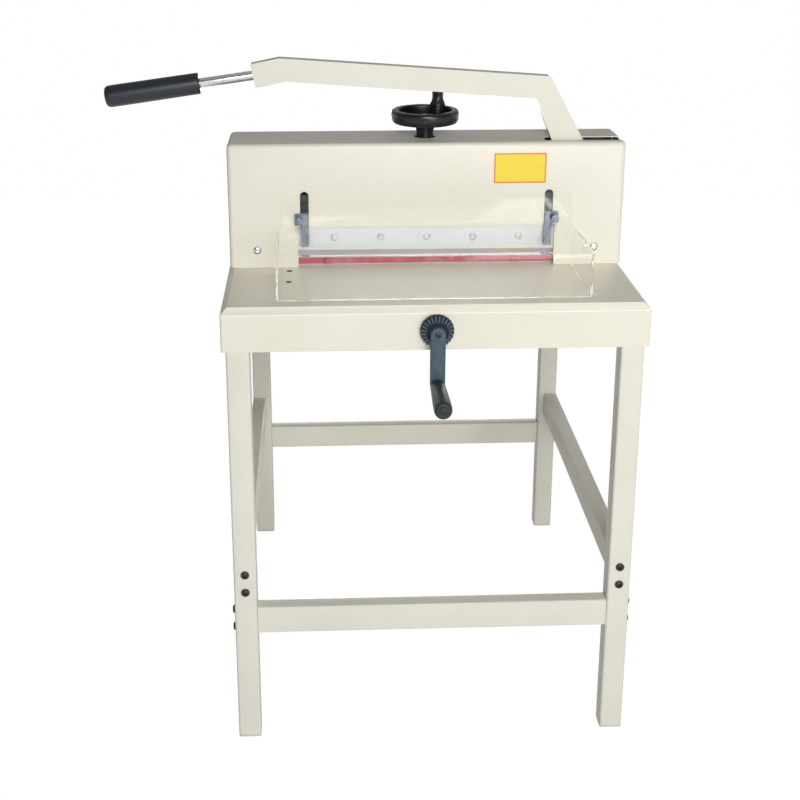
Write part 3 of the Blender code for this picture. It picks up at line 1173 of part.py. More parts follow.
clear_plastic = material("clear acrylic", (0.92, 0.95, 0.94), 0.06, 0.0, 0.25)

make_stand()
make_casing()
make_bed()
make_frames()
make_housing()
make_knife()
make_lever()
make_clamp()
make_guard()
make_gauge()

KNOB_SPOT = Vector((KNOB_ORBIT * cos(KNOB_ANGLE), SPINDLE_Y + KNOB_ORBIT * sin(KNOB_ANGLE), WHEEL_TOP))
place({
    "lever_swing": (PIVOT, ["lever_arm", "lever_bush", "lever_rod", "lever_grip", "drive_pin",
                            "drive_roller"]),
    "knife_slide": (Vector((0, CARRIER_BACK, KNIFE_EDGE)), ["knife_carrier", "knife"]),
    "handwheel_spin": (Vector((0, SPINDLE_Y, WHEEL_BOTTOM)),
                       ["handwheel", "clamp_spindle", "spindle_nut", "knob_pin"]),
    "knob_spin": (KNOB_SPOT, ["handwheel_knob"]),
    "clamp_slide": (Vector((0, SPINDLE_Y, CLAMP_BOTTOM)), ["clamp_bar", "clamp_nut"]),
    "guard_slide": (Vector((0, FLANGE_BACK, HOOD_TOP)),
                    ["guard_hood", "guard_bracket_left", "guard_bracket_right", "guard_screw_left",
                     "guard_screw_right"]),
    "crank_spin": (Vector((0, ARM_FRONT, SCREW_Z)), ["leadscrew", "crank_dial", "crank_arm",
                                                     "crank_grip_pin"]),
    "crank_grip_spin": (Vector((0, CRANK_GRIP_BACK, SCREW_Z - ARM_CENTRES)), ["crank_grip"]),
    "gauge_slide": (Vector((0, GAUGE_REST, BED_TOP)), ["back_gauge", "gauge_carriage"]),
})
print("knife travel", KNIFE_LIFT / cos(KNIFE_SLANT), "crank radius", CRANK_RADIUS)
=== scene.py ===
import json
from math import pi, radians

import bmesh
import bpy
import numpy as np
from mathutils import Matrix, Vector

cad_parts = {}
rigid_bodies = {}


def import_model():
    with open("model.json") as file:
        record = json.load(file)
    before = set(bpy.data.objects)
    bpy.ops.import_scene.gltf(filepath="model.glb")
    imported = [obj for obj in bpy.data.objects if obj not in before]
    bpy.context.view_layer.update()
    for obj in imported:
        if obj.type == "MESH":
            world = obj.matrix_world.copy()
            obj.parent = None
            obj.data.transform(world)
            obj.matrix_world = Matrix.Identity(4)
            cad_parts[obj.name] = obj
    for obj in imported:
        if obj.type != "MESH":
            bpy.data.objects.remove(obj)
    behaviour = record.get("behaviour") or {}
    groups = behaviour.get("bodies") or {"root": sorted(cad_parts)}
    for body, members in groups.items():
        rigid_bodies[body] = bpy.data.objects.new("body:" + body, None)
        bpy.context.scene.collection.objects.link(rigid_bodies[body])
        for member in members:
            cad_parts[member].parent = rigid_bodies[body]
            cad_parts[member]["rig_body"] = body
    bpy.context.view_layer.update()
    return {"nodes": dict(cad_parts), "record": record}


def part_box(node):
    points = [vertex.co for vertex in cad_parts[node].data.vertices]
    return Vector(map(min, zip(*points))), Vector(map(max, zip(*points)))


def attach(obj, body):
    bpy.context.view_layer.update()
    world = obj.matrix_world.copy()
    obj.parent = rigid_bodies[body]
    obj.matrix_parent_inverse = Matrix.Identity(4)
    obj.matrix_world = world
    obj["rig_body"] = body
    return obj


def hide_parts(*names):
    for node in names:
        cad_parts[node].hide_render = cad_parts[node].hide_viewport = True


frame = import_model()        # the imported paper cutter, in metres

print("frame loaded:", len(frame["nodes"]), "nodes")


# where a node lies
def lowHigh(node):
    low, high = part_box(node)
    return np.array(low), np.array(high)


def middle(node):
    low, high = lowHigh(node)
    return (low + high) / 2


def screenColour(red, green, blue):    # 0 to 255 a channel, to Blender's linear colour
    share = np.array([red, green, blue]) / 255
    linear = np.where(share <= 0.04045, share / 12.92, ((share + 0.055) / 1.055) ** 2.4)
    return (*linear.tolist(), 1.0)


# One socket of a material. Sums on it add Math nodes, and node() adds any other kind.
class Wire:
    def __init__(self, tree, socket=None):
        self.tree = tree
        self.socket = socket

    def node(self, kind, settings=None, sockets=None, out=0):
        made = self.tree.nodes.new(kind)
        for name, value in (settings or {}).items():
            setattr(made, name, value)
        for name, value in (sockets or {}).items():
            if isinstance(value, Wire):
                self.tree.links.new(value.socket, made.inputs[name])
            else:
                made.inputs[name].default_value = value
        return Wire(self.tree, made.outputs[out])

    def maths(self, operation, first, second=0.0):
        return self.node("ShaderNodeMath", {"operation": operation}, {0: first, 1: second})

    def __add__(self, other):
        return self.maths("ADD", self, other)

    def __radd__(self, other):
        return self.maths("ADD", other, self)

    def __sub__(self, other):
        return self.maths("SUBTRACT", self, other)

    def __rsub__(self, other):
        return self.maths("SUBTRACT", other, self)

    def __mul__(self, other):
        return self.maths("MULTIPLY", self, other)

    def __rmul__(self, other):
        return self.maths("MULTIPLY", other, self)

    def over(self, edge):    # 1 where the value is above the edge
        return self.maths("GREATER_THAN", self, edge)

    def ranged(self, low, high):    # 0 at low, 1 at high, and held there
        sockets = {0: self, 1: low, 2: high, 3: 0.0, 4: 1.0}
        return self.node("ShaderNodeMapRange", {"clamp": True}, sockets)

    def parts(self):    # a vector's X, Y and Z
        apart = self.node("ShaderNodeSeparateXYZ", {}, {0: self})
        return [Wire(self.tree, socket) for socket in apart.socket.node.outputs]

    def stretched(self, *scale):
        return self.node("ShaderNodeVectorMath", {"operation": "MULTIPLY"}, {0: self, 1: scale})

    def noise(self, scale, detail=2.0, roughness=0.5):
        sockets = {"Vector": self, "Scale": scale, "Detail": detail, "Roughness": roughness}
        return self.node("ShaderNodeTexNoise", {}, sockets)

    def mixed(self, first, second):    # a colour between two, by this value
        return self.node("ShaderNodeMix", {"data_type": "RGBA"}, {0: self, 6: first, 7: second}, 2)

    def bump(self, height, strength, distance):
        sockets = {"Strength": strength, "Distance": distance, "Height": height}
        return self.node("ShaderNodeBump", {}, sockets)


# an empty material with its Principled shader; constants go straight onto the shader
def newFinish(name, constants):
    material = bpy.data.materials.new(name)
    material.use_nodes = True
    tree = material.node_tree
    tree.nodes.clear()
    surface = tree.nodes.new("ShaderNodeOutputMaterial")
    shader = tree.nodes.new("ShaderNodeBsdfPrincipled")
    tree.links.new(shader.outputs[0], surface.inputs[0])
    for socket, value in constants.items():
        shader.inputs[socket].default_value = value
    start = Wire(tree)
    place = start.node("ShaderNodeTexCoord", out="Object")
    return material, shader, start, place


def plug(shader, **wires):    # socket names are written without their spaces
    sockets = {socket.name.replace(" ", ""): socket for socket in shader.inputs}
    for name, wire in wires.items():
        wire.tree.links.new(wire.socket, sockets[name])


# a material taken up again, to lay more colour over the colour that its shader has
def reopened(material):
    tree = material.node_tree
    shader = next(n for n in tree.nodes if n.type == "BSDF_PRINCIPLED")
    start = Wire(tree)
    place = start.node("ShaderNodeTexCoord", out="Object")
    return shader, start, place, Wire(tree, shader.inputs["Base Color"].links[0].from_socket)


def copyOf(material, name):
    another = material.copy()
    another.name = name
    return another


# a mix of two shaders becomes what the material shows
def showMix(material, factor, first, second):
    tree = material.node_tree
    blend = Wire(tree).node("ShaderNodeMixShader", {}, {0: factor, 1: first, 2: second})
    surface = next(n for n in tree.nodes if n.type == "OUTPUT_MATERIAL")
    tree.links.new(blend.socket, surface.inputs[0])


# baked enamel: a faint cloud of tone, dust in the tone, orange peel in the bump, and on the table
# a painted light that makes its top paler
def enamel(name, look):
    constants = {"Coat Weight": look["coat"], "Coat Roughness": 0.12,
                 "Specular IOR Level": look["shine"]}
    material, shader, start, place = newFinish(name, constants)
    cloud = place.noise(look["cloud"], 3.0)
    speck = place.noise(look["speck"], 2.0, 0.6)
    tone = cloud.ranged(0.3, 0.7).mixed(screenColour(*look["deep"]), screenColour(*look["colour"]))
    dust = speck.ranged(0.62, 0.78) * look["dust"]
    dustAndPaintedLight = dust.mixed(tone, screenColour(*look["dustColour"]))
    if "edge" in look:    # painted light: the table's top is painted paler, palest at its front bend
        low, high = lowHigh("table_casing")
        x, y, z = place.parts()
        near, far = look["bend"]
        ahead = 1 - y.ranged(low[1] + near, low[1] + far)
        lifted = z.ranged(high[2] - far, high[2] - near)
        dustAndPaintedLight = (lifted * look["topShare"]).mixed(dustAndPaintedLight, screenColour(*look["top"]))
        dustAndPaintedLight = (ahead * lifted).mixed(dustAndPaintedLight, screenColour(*look["edge"]))
    peel = place.noise(look["peel"], 1.0) + place.noise(look["peel"] * 3.1, 1.0) * 0.35
    rough = look["rough"] + (cloud - 0.5) * look["roughSpread"] + speck.ranged(0.5, 0.9) * 0.05
    plug(shader, BaseColor=dustAndPaintedLight, Roughness=rough, Normal=start.bump(peel, look["bump"], 0.0002))
    return material


# turned, ground or drawn steel: long scratches along one direction, in the tone and the shine
def metal(name, look):
    material, shader, start, place = newFinish(name, {"Metallic": look.get("metallic", 1.0)})
    lines = place.stretched(*look["grain"]).noise(1.0, 4.0, 0.65)
    cloud = place.noise(look["cloud"], 3.0)
    tone = (lines * 0.6 + cloud * 0.4).ranged(0.3, 0.7)
    colour = tone.mixed(screenColour(*look["deep"]), screenColour(*look["colour"]))
    stained = cloud.ranged(0.60, 0.75) * look["stain"]
    plug(shader, BaseColor=stained.mixed(colour, screenColour(*look["stainColour"])),
         Roughness=look["rough"] + (lines - 0.5) * look["roughSpread"] + stained * 0.2,
         Normal=start.bump(lines, look["bump"], 0.0001))
    return material


# moulded or painted dark parts: fine grain, with paler rubbed patches
def moulding(name, look):
    constants = {"Specular IOR Level": look["shine"], "Coat Weight": look["coat"],
                 "Coat Roughness": 0.2}
    material, shader, start, place = newFinish(name, constants)
    grain = place.noise(look["grain"], 2.0, 0.6)
    cloud = place.noise(look["cloud"], 3.0)
    rubbed = (cloud * 0.75 + grain * 0.25).ranged(0.48, 0.66) * look["rub"]
    colour = rubbed.mixed(screenColour(*look["colour"]), screenColour(*look["rubColour"]))
    plug(shader, BaseColor=colour, Roughness=look["rough"] + (cloud - 0.5) * look["roughSpread"],
         Normal=start.bump(grain, look["bump"], 0.0002))
    return material


# the crank's dial: dark moulding, with a painted highlight, a pale mark, on every rib of its
# bevel. A rib is where cos(n a) is low, for the angle a about the dial's axis.
def dialFinish(name, look, centre):
    material = moulding(name, look)
    shader, start, place, plain = reopened(material)
    x, y, z = place.parts()
    x = x - centre[0]
    z = z - centre[2]
    angle = start.maths("ARCTAN2", z, x)
    rib = 1 - start.maths("COSINE", angle * look["flutes"]).ranged(-0.75, -0.35)
    reach = start.maths("SQRT", x * x + z * z)
    band = reach.ranged(look["face"] + 0.0006, look["face"] + 0.0014) * (
        1 - reach.ranged(look["radius"] - 0.0016, look["radius"] - 0.0008))
    # painted highlight on the rib crests, made uneven by noise
    wearAndRibHighlight = rib * band * (0.55 + place.noise(500.0).ranged(0.35, 0.65) * 0.45)
    plug(shader, BaseColor=wearAndRibHighlight.mixed(plain, screenColour(*look["mark"])))
    return material


# clear sheet: lamps shine through it, so what stands behind it stays lit
def clearSheet(name, look):
    constants = {"Transmission Weight": look["clear"], "IOR": look["bending"],
                 "Coat Weight": look["coat"], "Coat Roughness": 0.05}
    material, shader, start, place = newFinish(name, constants)
    haze = place.noise(look["haze"], 3.0)
    tint = haze.mixed(screenColour(*look["deep"]), screenColour(*look["colour"]))
    scuffs = place.stretched(60, 900, 900).noise(1.0, 3.0, 0.7).ranged(0.64, 0.74)
    plug(shader, BaseColor=tint, Roughness=look["rough"] + scuffs * look["scuff"],
         Normal=start.bump(haze, look["bump"], 0.001))
    lampRay = start.node("ShaderNodeLightPath", out="Is Shadow Ray") * look["lampShare"]
    through = start.node("ShaderNodeBsdfTransparent", {}, {0: screenColour(*look["colour"])})
    showMix(material, lampRay, Wire(start.tree, shader.outputs[0]), through)
    return material


cream = {"colour": (235, 232, 218), "deep": (230, 227, 211), "dustColour": (214, 207, 186),
         "dust": 0.12, "cloud": 5.0, "speck": 420.0, "peel": 900.0, "bump": 0.10, "rough": 0.40,
         "roughSpread": 0.14, "coat": 0.10, "shine": 0.42}
matt = {"rub": 0.5, "roughSpread": 0.2, "bump": 0.2, "shine": 0.4, "coat": 0.0}
blackLook = {**matt, "colour": (17, 22, 26), "rubColour": (30, 35, 39), "grain": 2600.0,
             "cloud": 55.0, "rough": 0.44, "roughSpread": 0.14, "bump": 0.12, "shine": 0.32}
finishes = {
    "housing_paint": enamel("housingEnamel", cream),
    "lever_paint": enamel("leverEnamel", {
        **cream, "colour": (226, 225, 211), "deep": (221, 220, 204)}),
    "table_paint": enamel("tableEnamel", {
        # edge and top are painted light: a paler top, palest at the front bend
        **cream, "edge": (250, 247, 231), "top": (252, 246, 227), "topShare": 0.9,
        "bend": (0.0095, 0.0115), "colour": (230, 226, 211), "deep": (225, 221, 205),
        "rough": 0.36, "coat": 0.12}),
    "leg_paint": enamel("standEnamel", {
        **cream, "colour": (225, 223, 211), "deep": (218, 216, 203), "rough": 0.50,
        "coat": 0.0, "shine": 0.20}),
    "foot_plastic": moulding("footMoulding", {
        **matt, "colour": (205, 204, 194), "rubColour": (180, 178, 166), "rub": 0.6,
        "grain": 1800.0, "cloud": 60.0, "rough": 0.55}),
    "cast_iron": moulding("greyCasting", {
        **matt, "colour": (146, 150, 150), "rubColour": (120, 122, 120), "rub": 0.8,
        "grain": 900.0, "cloud": 40.0, "rough": 0.55, "roughSpread": 0.25, "bump": 0.55}),
    "black_plastic": moulding("blackMoulding", blackLook),
    "slate_plastic": moulding("slateMoulding", {
        **matt, "colour": (60, 78, 90), "rubColour": (86, 104, 116), "grain": 2200.0,
        "cloud": 70.0, "rough": 0.48}),
    "red_plastic": moulding("redBar", {
        **matt, "colour": (186, 74, 86), "rubColour": (203, 138, 144), "rub": 0.7,
        "grain": 700.0, "cloud": 45.0, "rough": 0.42}),
    "machined_steel": metal("groundSteel", {
        "colour": (204, 207, 210), "deep": (176, 180, 183), "stainColour": (160, 158, 150),
        "stain": 0.20, "grain": (30.0, 900.0, 900.0), "cloud": 14.0, "rough": 0.46,
        "roughSpread": 0.25, "bump": 0.20, "metallic": 0.55}),
    "bright_steel": metal("brightSteel", {
        "colour": (226, 228, 230), "deep": (188, 192, 196), "stainColour": (140, 138, 130),
        "stain": 0.20, "grain": (700.0, 700.0, 900.0), "cloud": 30.0, "rough": 0.22,
        "roughSpread": 0.16, "bump": 0.08}),
    "blade_steel": metal("bladeSteel", {
        "colour": (230, 233, 238), "deep": (200, 205, 212), "stainColour": (160, 160, 158),
        "stain": 0.15, "grain": (900.0, 900.0, 26.0), "cloud": 22.0, "rough": 0.36,
        "roughSpread": 0.2, "bump": 0.12, "metallic": 0.45}),
    "bronze": metal("turnedBronze", {
        "colour": (198, 158, 92), "deep": (158, 120, 62), "stainColour": (96, 74, 46),
        "stain": 0.4, "grain": (800.0, 800.0, 800.0), "cloud": 40.0, "rough": 0.32,
        "roughSpread": 0.2, "bump": 0.12}),
    "clear_plastic": clearSheet("clearAcrylic", {
        "colour": (253, 253, 252), "deep": (251, 251, 249), "haze": 6.0, "rough": 0.02,
        "scuff": 0.12, "bump": 0.01, "clear": 0.985, "bending": 1.05, "coat": 0.5,
        "lampShare": 0.92}),
}
boltBlack = moulding("blackOxide", {
    **matt, "colour": (26, 29, 34), "rubColour": (48, 51, 56), "grain": 3000.0, "cloud": 160.0,
    "rough": 0.40, "bump": 0.15, "shine": 0.5})
print("finishes:", len(bpy.data.materials))

# each CAD node takes the finish of its slot
slotOfNode = {part["node"]: part["material_slot"] for part in frame["record"]["subparts"]}
for nodeName, node in frame["nodes"].items():
    node.data.materials.clear()
    node.data.materials.append(finishes[slotOfNode[nodeName]])


# a finished piece: linked, painted, shaded, and riding on the body of the node it belongs to
def addPiece(name, mesh, material, node, crease=35.0):
    piece = bpy.data.objects.new(name, mesh)
    bpy.context.scene.collection.objects.link(piece)
    mesh.materials.clear()
    mesh.materials.append(material)
    mesh.shade_smooth()
    mesh.set_sharp_from_angle(angle=radians(crease))
    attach(piece, frame["nodes"][node]["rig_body"])
    return piece


# A grid of points as a mesh. Neighbours along rows and columns make four-sided faces; the last
# column meets the first where it wraps. Points that coincide are merged, which closes the poles.
def gridMesh(name, grids, wrapColumns=True):
    points = []
    faces = []
    offset = 0
    for grid in grids:
        rows, columns = grid.shape[:2]
        index = offset + np.arange(rows * columns).reshape(rows, columns)
        if wrapColumns:
            index = np.concatenate([index, index[:, :1]], axis=1)
        quads = np.stack([index[:-1, :-1], index[1:, :-1], index[1:, 1:], index[:-1, 1:]], axis=-1)
        points.append(grid.reshape(-1, 3))
        faces.append(quads.reshape(-1, 4))
        offset += rows * columns
    mesh = bpy.data.meshes.new(name)
    mesh.from_pydata(np.concatenate(points).tolist(), [], np.concatenate(faces).tolist())
    cleaner = bmesh.new()
    cleaner.from_mesh(mesh)
    bmesh.ops.remove_doubles(cleaner, verts=cleaner.verts, dist=1e-6)
    bmesh.ops.recalc_face_normals(cleaner, faces=cleaner.faces)
    cleaner.to_mesh(mesh)
    cleaner.free()
    return mesh


# a piece made of grids that stands for a CAD node and hides it, in the material given
def standIn(name, grids, material, node, crease=35.0):
    piece = addPiece(name, gridMesh(name, grids), material, node, crease)
    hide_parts(node)


# A line of corners with each one rounded: from a point `cut` before it to a point `cut` after it
# runs the parabola (1-t)(1-t) start + 2t(1-t) corner + t t end.
def rounded(corners, cut, steps=5):
    corners = np.array(corners, float)
    cut = np.broadcast_to(np.asarray(cut, float), len(corners) - 2)
    back = corners[:-2] - corners[1:-1]
    ahead = corners[2:] - corners[1:-1]
    backLength = np.linalg.norm(back, axis=1)
    aheadLength = np.linalg.norm(ahead, axis=1)
    reach = np.minimum(cut, 0.49 * np.minimum(backLength, aheadLength))
    start = corners[1:-1] + back * (reach / backLength)[:, None]
    end = corners[1:-1] + ahead * (reach / aheadLength)[:, None]
    t = np.linspace(0, 1, steps)[None, :, None]
    middles = corners[1:-1, None]
    curve = (1 - t) ** 2 * start[:, None] + 2 * t * (1 - t) * middles + t ** 2 * end[:, None]
    return np.concatenate([corners[:1], curve.reshape(-1, corners.shape[1]), corners[-1:]])


def unit(vector):
    return np.array(vector, float) / np.linalg.norm(vector)


def sideways(axis):    # two directions square to an axis and to each other
    axis = unit(axis)
    helper = (0, 0, 1) if abs(axis[2]) < 0.9 else (1, 0, 0)
    side = unit(np.cross(helper, axis))
    return side, np.cross(axis, side)


# A profile of (radius, height) turned about an axis: at angle a the point is
# base + axis * height + radius * wave(a, height) * (side cos a + front sin a).
def turnedGrid(profile, base, axis, steps=64, wave=None):
    profile = np.array(profile, float)
    side, front = sideways(axis)
    angle = np.linspace(0, 2 * pi, steps, endpoint=False)
    ring = np.cos(angle)[:, None] * side + np.sin(angle)[:, None] * front
    radius = np.broadcast_to(profile[:, :1], (len(profile), steps))
    if wave:
        radius = radius * wave(angle[None, :], profile[:, 1:])
    height = profile[:, 1, None, None] * unit(axis)
    return np.array(base, float) + height + radius[:, :, None] * ring[None]


# A closed section carried along a path: point = path + across * u + rise * v, where across is
# square to the path's direction and to the given up, and size scales u and v at each step.
def carriedGrid(path, section, up, size):
    path = np.array(path, float)
    along = np.gradient(path, axis=0)
    along /= np.linalg.norm(along, axis=1)[:, None]
    across = np.cross(along, np.array(up, float))
    across /= np.linalg.norm(across, axis=1)[:, None]
    rise = np.cross(across, along)
    u = section[None, :, 0] * size[:, :1]
    v = section[None, :, 1] * size[:, 1:]
    return path[:, None] + across[:, None] * u[:, :, None] + rise[:, None] * v[:, :, None]


# a circle of radius 1, as (cos a, sin a) to a power; below power 1 it grows squarer
def oval(power, steps=32):
    angle = np.linspace(0, 2 * pi, steps, endpoint=False)
    circle = np.stack([np.cos(angle), np.sin(angle)], axis=-1)
    return np.sign(circle) * np.abs(circle) ** power


def closedEnds(grid):    # the first and last rings drawn in to their own centres
    first = np.broadcast_to(grid[0].mean(axis=0), grid[:1].shape)
    last = np.broadcast_to(grid[-1].mean(axis=0), grid[:1].shape)
    return np.concatenate([first, grid, last])


# A merged copy of a CAD node: coincident corners become one, flat neighbours one face, and every
# edge that turns by more than thirty degrees gets a narrow rounded bevel.
def softEdged(node, edge):
    mesh = frame["nodes"][node].data.copy()
    cleaner = bmesh.new()
    cleaner.from_mesh(mesh)
    bmesh.ops.remove_doubles(cleaner, verts=cleaner.verts, dist=1e-6)
    bmesh.ops.dissolve_limit(cleaner, angle_limit=radians(0.6), verts=cleaner.verts,
                             edges=cleaner.edges)
    cleaner.to_mesh(mesh)
    cleaner.free()
    mesh.name = node + "_edged"
    slot = slotOfNode[node]
    piece = addPiece(mesh.name, mesh, finishes[slot], node, 32.0)
    bevel = piece.modifiers.new("edges", "BEVEL")
    bevel.width = edge
    bevel.segments = 2
    bevel.limit_method = "ANGLE"
    bevel.angle_limit = radians(30)
    bevel.harden_normals = True
    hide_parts(node)


# sheet metal, bars and castings keep their CAD shape, with edges that catch the light
corners = [f"{end}_{side}" for end in ("front", "rear") for side in ("left", "right")]
edgedNodes = {
    "housing_cover": 0.0005, "rear_cover": 0.0005, "table_casing": 0.0005, "lever_arm": 0.0009,
    **{f"leg_{corner}": 0.0004 for corner in corners},
    **{f"stretcher_{side}": 0.0006 for side in ("front", "rear", "left", "right")},
    **{f"foot_{corner}": 0.0006 for corner in corners},
    "top_rail_front": 0.0006, "top_rail_rear": 0.0006,
    "bed_rail_left": 0.0006, "bed_rail_right": 0.0006, "bed_plate": 0.0006,
    "cutting_stick": 0.0004, "side_guide_left": 0.0005, "back_gauge": 0.0006,
    "gauge_carriage": 0.0004, "side_frame_left": 0.0012, "side_frame_right": 0.0012,
    "crossbeam": 0.0012, "clamp_bar": 0.0012, "clamp_nut": 0.0003, "knife_carrier": 0.0005,
    "knife": 0.0001, "guard_bracket_left": 0.0004, "guard_bracket_right": 0.0004,
    "guard_hood": 0.0004, "pivot_shaft": 0.0004, "pivot_collar": 0.0003, "lever_bush": 0.0002,
    "drive_pin": 0.0003, "drive_roller": 0.0003, "guide_bolt_left": 0.0004,
    "guide_bolt_right": 0.0004, "spindle_bush": 0.0004, "leadscrew_bush_front": 0.0003,
    "leadscrew_bush_rear": 0.0003, "knob_pin": 0.0002, "spindle_nut": 0.0003,
    "crank_grip_pin": 0.0003,
}
for nodeName, edge in edgedNodes.items():
    softEdged(nodeName, edge)
print("edged copies:", len(edgedNodes))

# The knife's carrier is ground bright below a level line and painted dark above it: painted shade
# where the guard's slots look into the housing. A pale diagonal, a painted highlight of a slanted
# slot edge, crosses the dark part behind each of the guard's slots: it lies where |slope x + z| is
# small.
carrier = {"spread": 0.197, "height": 0.842, "slope": 1.25, "inner": 0.0045, "outer": 0.0066,
           "reach": 0.012, "line": 0.812, "soft": 0.001, "blued": (46, 50, 58),
           "ground": (150, 154, 162), "colour": (222, 226, 233), "deep": (202, 207, 215),
           "stainColour": (184, 186, 192), "stain": 0.2, "grain": (20.0, 900.0, 900.0),
           "cloud": 9.0, "rough": 0.40, "roughSpread": 0.15, "bump": 0.1, "metallic": 0.20}


def carrierFinish(name, look, centre):
    material = metal(name, look)
    shader, start, place, plain = reopened(material)
    x, y, height = place.parts()
    x = x - centre
    across = x - look["spread"] * (2 * x.over(0.0) - 1)
    away = start.maths("ABSOLUTE", across * look["slope"] + (height - look["height"]))
    ground = 1 - away.ranged(look["inner"], look["outer"])
    near = 1 - start.maths("ABSOLUTE", across).ranged(look["reach"], look["reach"] + 0.002)
    # painted shade above the line, with a painted highlight along each diagonal
    upper = (ground * near).mixed(screenColour(*look["blued"]), screenColour(*look["ground"]))
    raised = height.ranged(look["line"] - look["soft"], look["line"] + look["soft"])
    plug(shader, BaseColor=raised.mixed(plain, upper))
    return material


# the cutting stick's top is pale where the knife lands
stick = {"skin": 0.0005, "pale": (204, 176, 176), "share": 0.9}


def stickFinish(name, material, look, top):
    wearAndRibHighlight = copyOf(material, name)
    shader, start, place, plain = reopened(wearAndRibHighlight)
    cuts = place.stretched(9, 900, 1).noise(1.0, 3.0, 0.7).ranged(0.25, 0.6)
    onTop = place.parts()[2].ranged(top - look["skin"], top - look["skin"] * 0.6)
    bruised = onTop * cuts * look["share"]
    plug(shader, BaseColor=bruised.mixed(plain, screenColour(*look["pale"])))
    return wearAndRibHighlight


# the rear cover's inner side is painted dark, a painted shade that shows through the guard's slots
innerShade = {"skin": 0.0015, "dark": (62, 66, 76), "light": (98, 104, 118), "cloud": 90.0}


def innerShadeFinish(name, material, look, outer):
    shadedCopy = copyOf(material, name)
    shader, start, place, plain = reopened(shadedCopy)
    cloud = place.noise(look["cloud"], 3.0).ranged(0.35, 0.65)
    dark = cloud.mixed(screenColour(*look["dark"]), screenColour(*look["light"]))
    depth = outer - look["skin"]
    inner = 1 - place.parts()[1].ranged(depth, depth + 0.0005)
    plug(shader, BaseColor=inner.mixed(plain, dark))
    return shadedCopy


def refinish(node, material):
    bpy.data.objects[node + "_edged"].data.materials[0] = material


housingLow = lowHigh("housing_cover")[0]
centreX = middle("housing_cover")[0]
frontY = housingLow[1]
zinc = metal("zincPlate", {
    "colour": (142, 149, 162), "deep": (100, 106, 118), "stainColour": (84, 87, 95), "stain": 0.3,
    "grain": (500.0, 500.0, 500.0), "cloud": 90.0, "rough": 0.42, "roughSpread": 0.2, "bump": 0.1})
# painted shade on the rear cover's inner side
refinish("rear_cover", innerShadeFinish("paintedShadeCover", finishes["housing_paint"], innerShade,
                                    lowHigh("rear_cover")[1][1]))
refinish("cutting_stick", stickFinish("wornStick", finishes["red_plastic"], stick,
                                      lowHigh("cutting_stick")[1][2]))
# painted shade and a painted highlight on the knife carrier
refinish("knife_carrier", carrierFinish("knifeCarrierSteel", carrier, centreX))
refinish("guard_bracket_left", zinc)
refinish("guard_bracket_right", zinc)

# the lever's handle
lever = {"rodEdge": 0.0012, "bore": 0.0082, "short": 0.0015, "deep": 0.070, "endShare": 0.985,
         "endLength": 0.020, "mouthShare": 0.97, "cuts": [0.0085, 0.010, 0.0045, 0.0005, 0.0003],
         "finish": {"colour": (26, 31, 40), "rubColour": (40, 46, 57), "shine": 0.5,
                    "rough": 0.40},
         "chrome": {"colour": (226, 224, 224), "deep": (206, 204, 205),
                    "stainColour": (168, 150, 142), "stain": 0.10, "grain": (60.0, 60.0, 60.0),
                    "cloud": 20.0, "rough": 0.20, "roughSpread": 0.04, "bump": 0.0}}


# a slanted bar: its centre, the direction in which its corners spread most, its ends and radius
def slantedBar(node):
    points = np.array([v.co for v in frame["nodes"][node].data.vertices])
    centre = points.mean(axis=0)
    points = points - centre
    direction = np.linalg.svd(points, full_matrices=False)[2][0]
    direction = direction * np.sign(direction[0])
    along = points @ direction
    radius = np.linalg.norm(points - along[:, None] * direction, axis=1).max()
    return centre, direction, along.min(), along.max(), radius


centre, direction, back, ahead, radius = slantedBar("lever_rod")
profile = rounded([(0, back), (radius, back), (radius, ahead), (0, ahead)], lever["rodEdge"])
standIn("lever_rod_turned", [turnedGrid(profile, centre, direction)],
        metal("chromedRod", lever["chrome"]), "lever_rod")

centre, direction, back, ahead, radius = slantedBar("lever_grip")
bore = lever["bore"]
inside = ahead - lever["deep"]
mouth = ahead - lever["short"]
profile = rounded([(0, back), (radius * lever["endShare"], back),
                   (radius, back + lever["endLength"]), (radius * lever["mouthShare"], mouth),
                   (bore, mouth), (bore, inside), (0, inside)], lever["cuts"], 8)
standIn("lever_grip_moulded", [turnedGrid(profile, centre, direction, 96)],
        moulding("gripMoulding", {**blackLook, **lever["finish"]}), "lever_grip")
print("lever handle")

# the clamp's handwheel: a rim that narrows below, three low spokes, the knob's seat and the hub
wheel = {"steps": 120, "thick": 0.0130, "tall": 0.0215, "taper": 0.30, "shoulder": 0.38,
         "rimCuts": [0.0036, 0.0056, 0.0070, 0.0044, 0.0030], "spokeFoot": 0.0125,
         "spokeWide": 0.0066, "spokeThick": 0.0038, "spokeLift": 0.0050, "spokeFlare": (0.35, 0.2),
         "spokeSquare": 0.6, "spokeInto": 0.004, "seatRadius": 0.0122, "seatFlare": 0.0006,
         "seatRise": 0.001, "seatEdge": 0.0012, "bore": 0.0083, "hubRadius": 0.0166,
         "hubWaist": 0.0138, "waistTall": 0.014, "hubGap": 0.0003,
         "hubCuts": [0.0018, 0.0060, 0.0050, 0.0014, 0.0005],
         "finish": {"rough": 0.30, "shine": 0.44, "coat": 0.1, "colour": (6, 11, 15),
                    "rubColour": (16, 23, 28)}}
low, high = lowHigh("handwheel")
nutLow = lowHigh("spindle_nut")[0]
knobLow, knobHigh = lowHigh("handwheel_knob")
axis = middle("spindle_nut")
knobAxis = middle("handwheel_knob")
rimOuter = (high[0] - low[0]) / 2
rimTop = high[2]
rimBottom = rimTop - wheel["tall"]
rimInner = rimOuter - wheel["thick"]
centreLine = (axis[0], axis[1], 0)
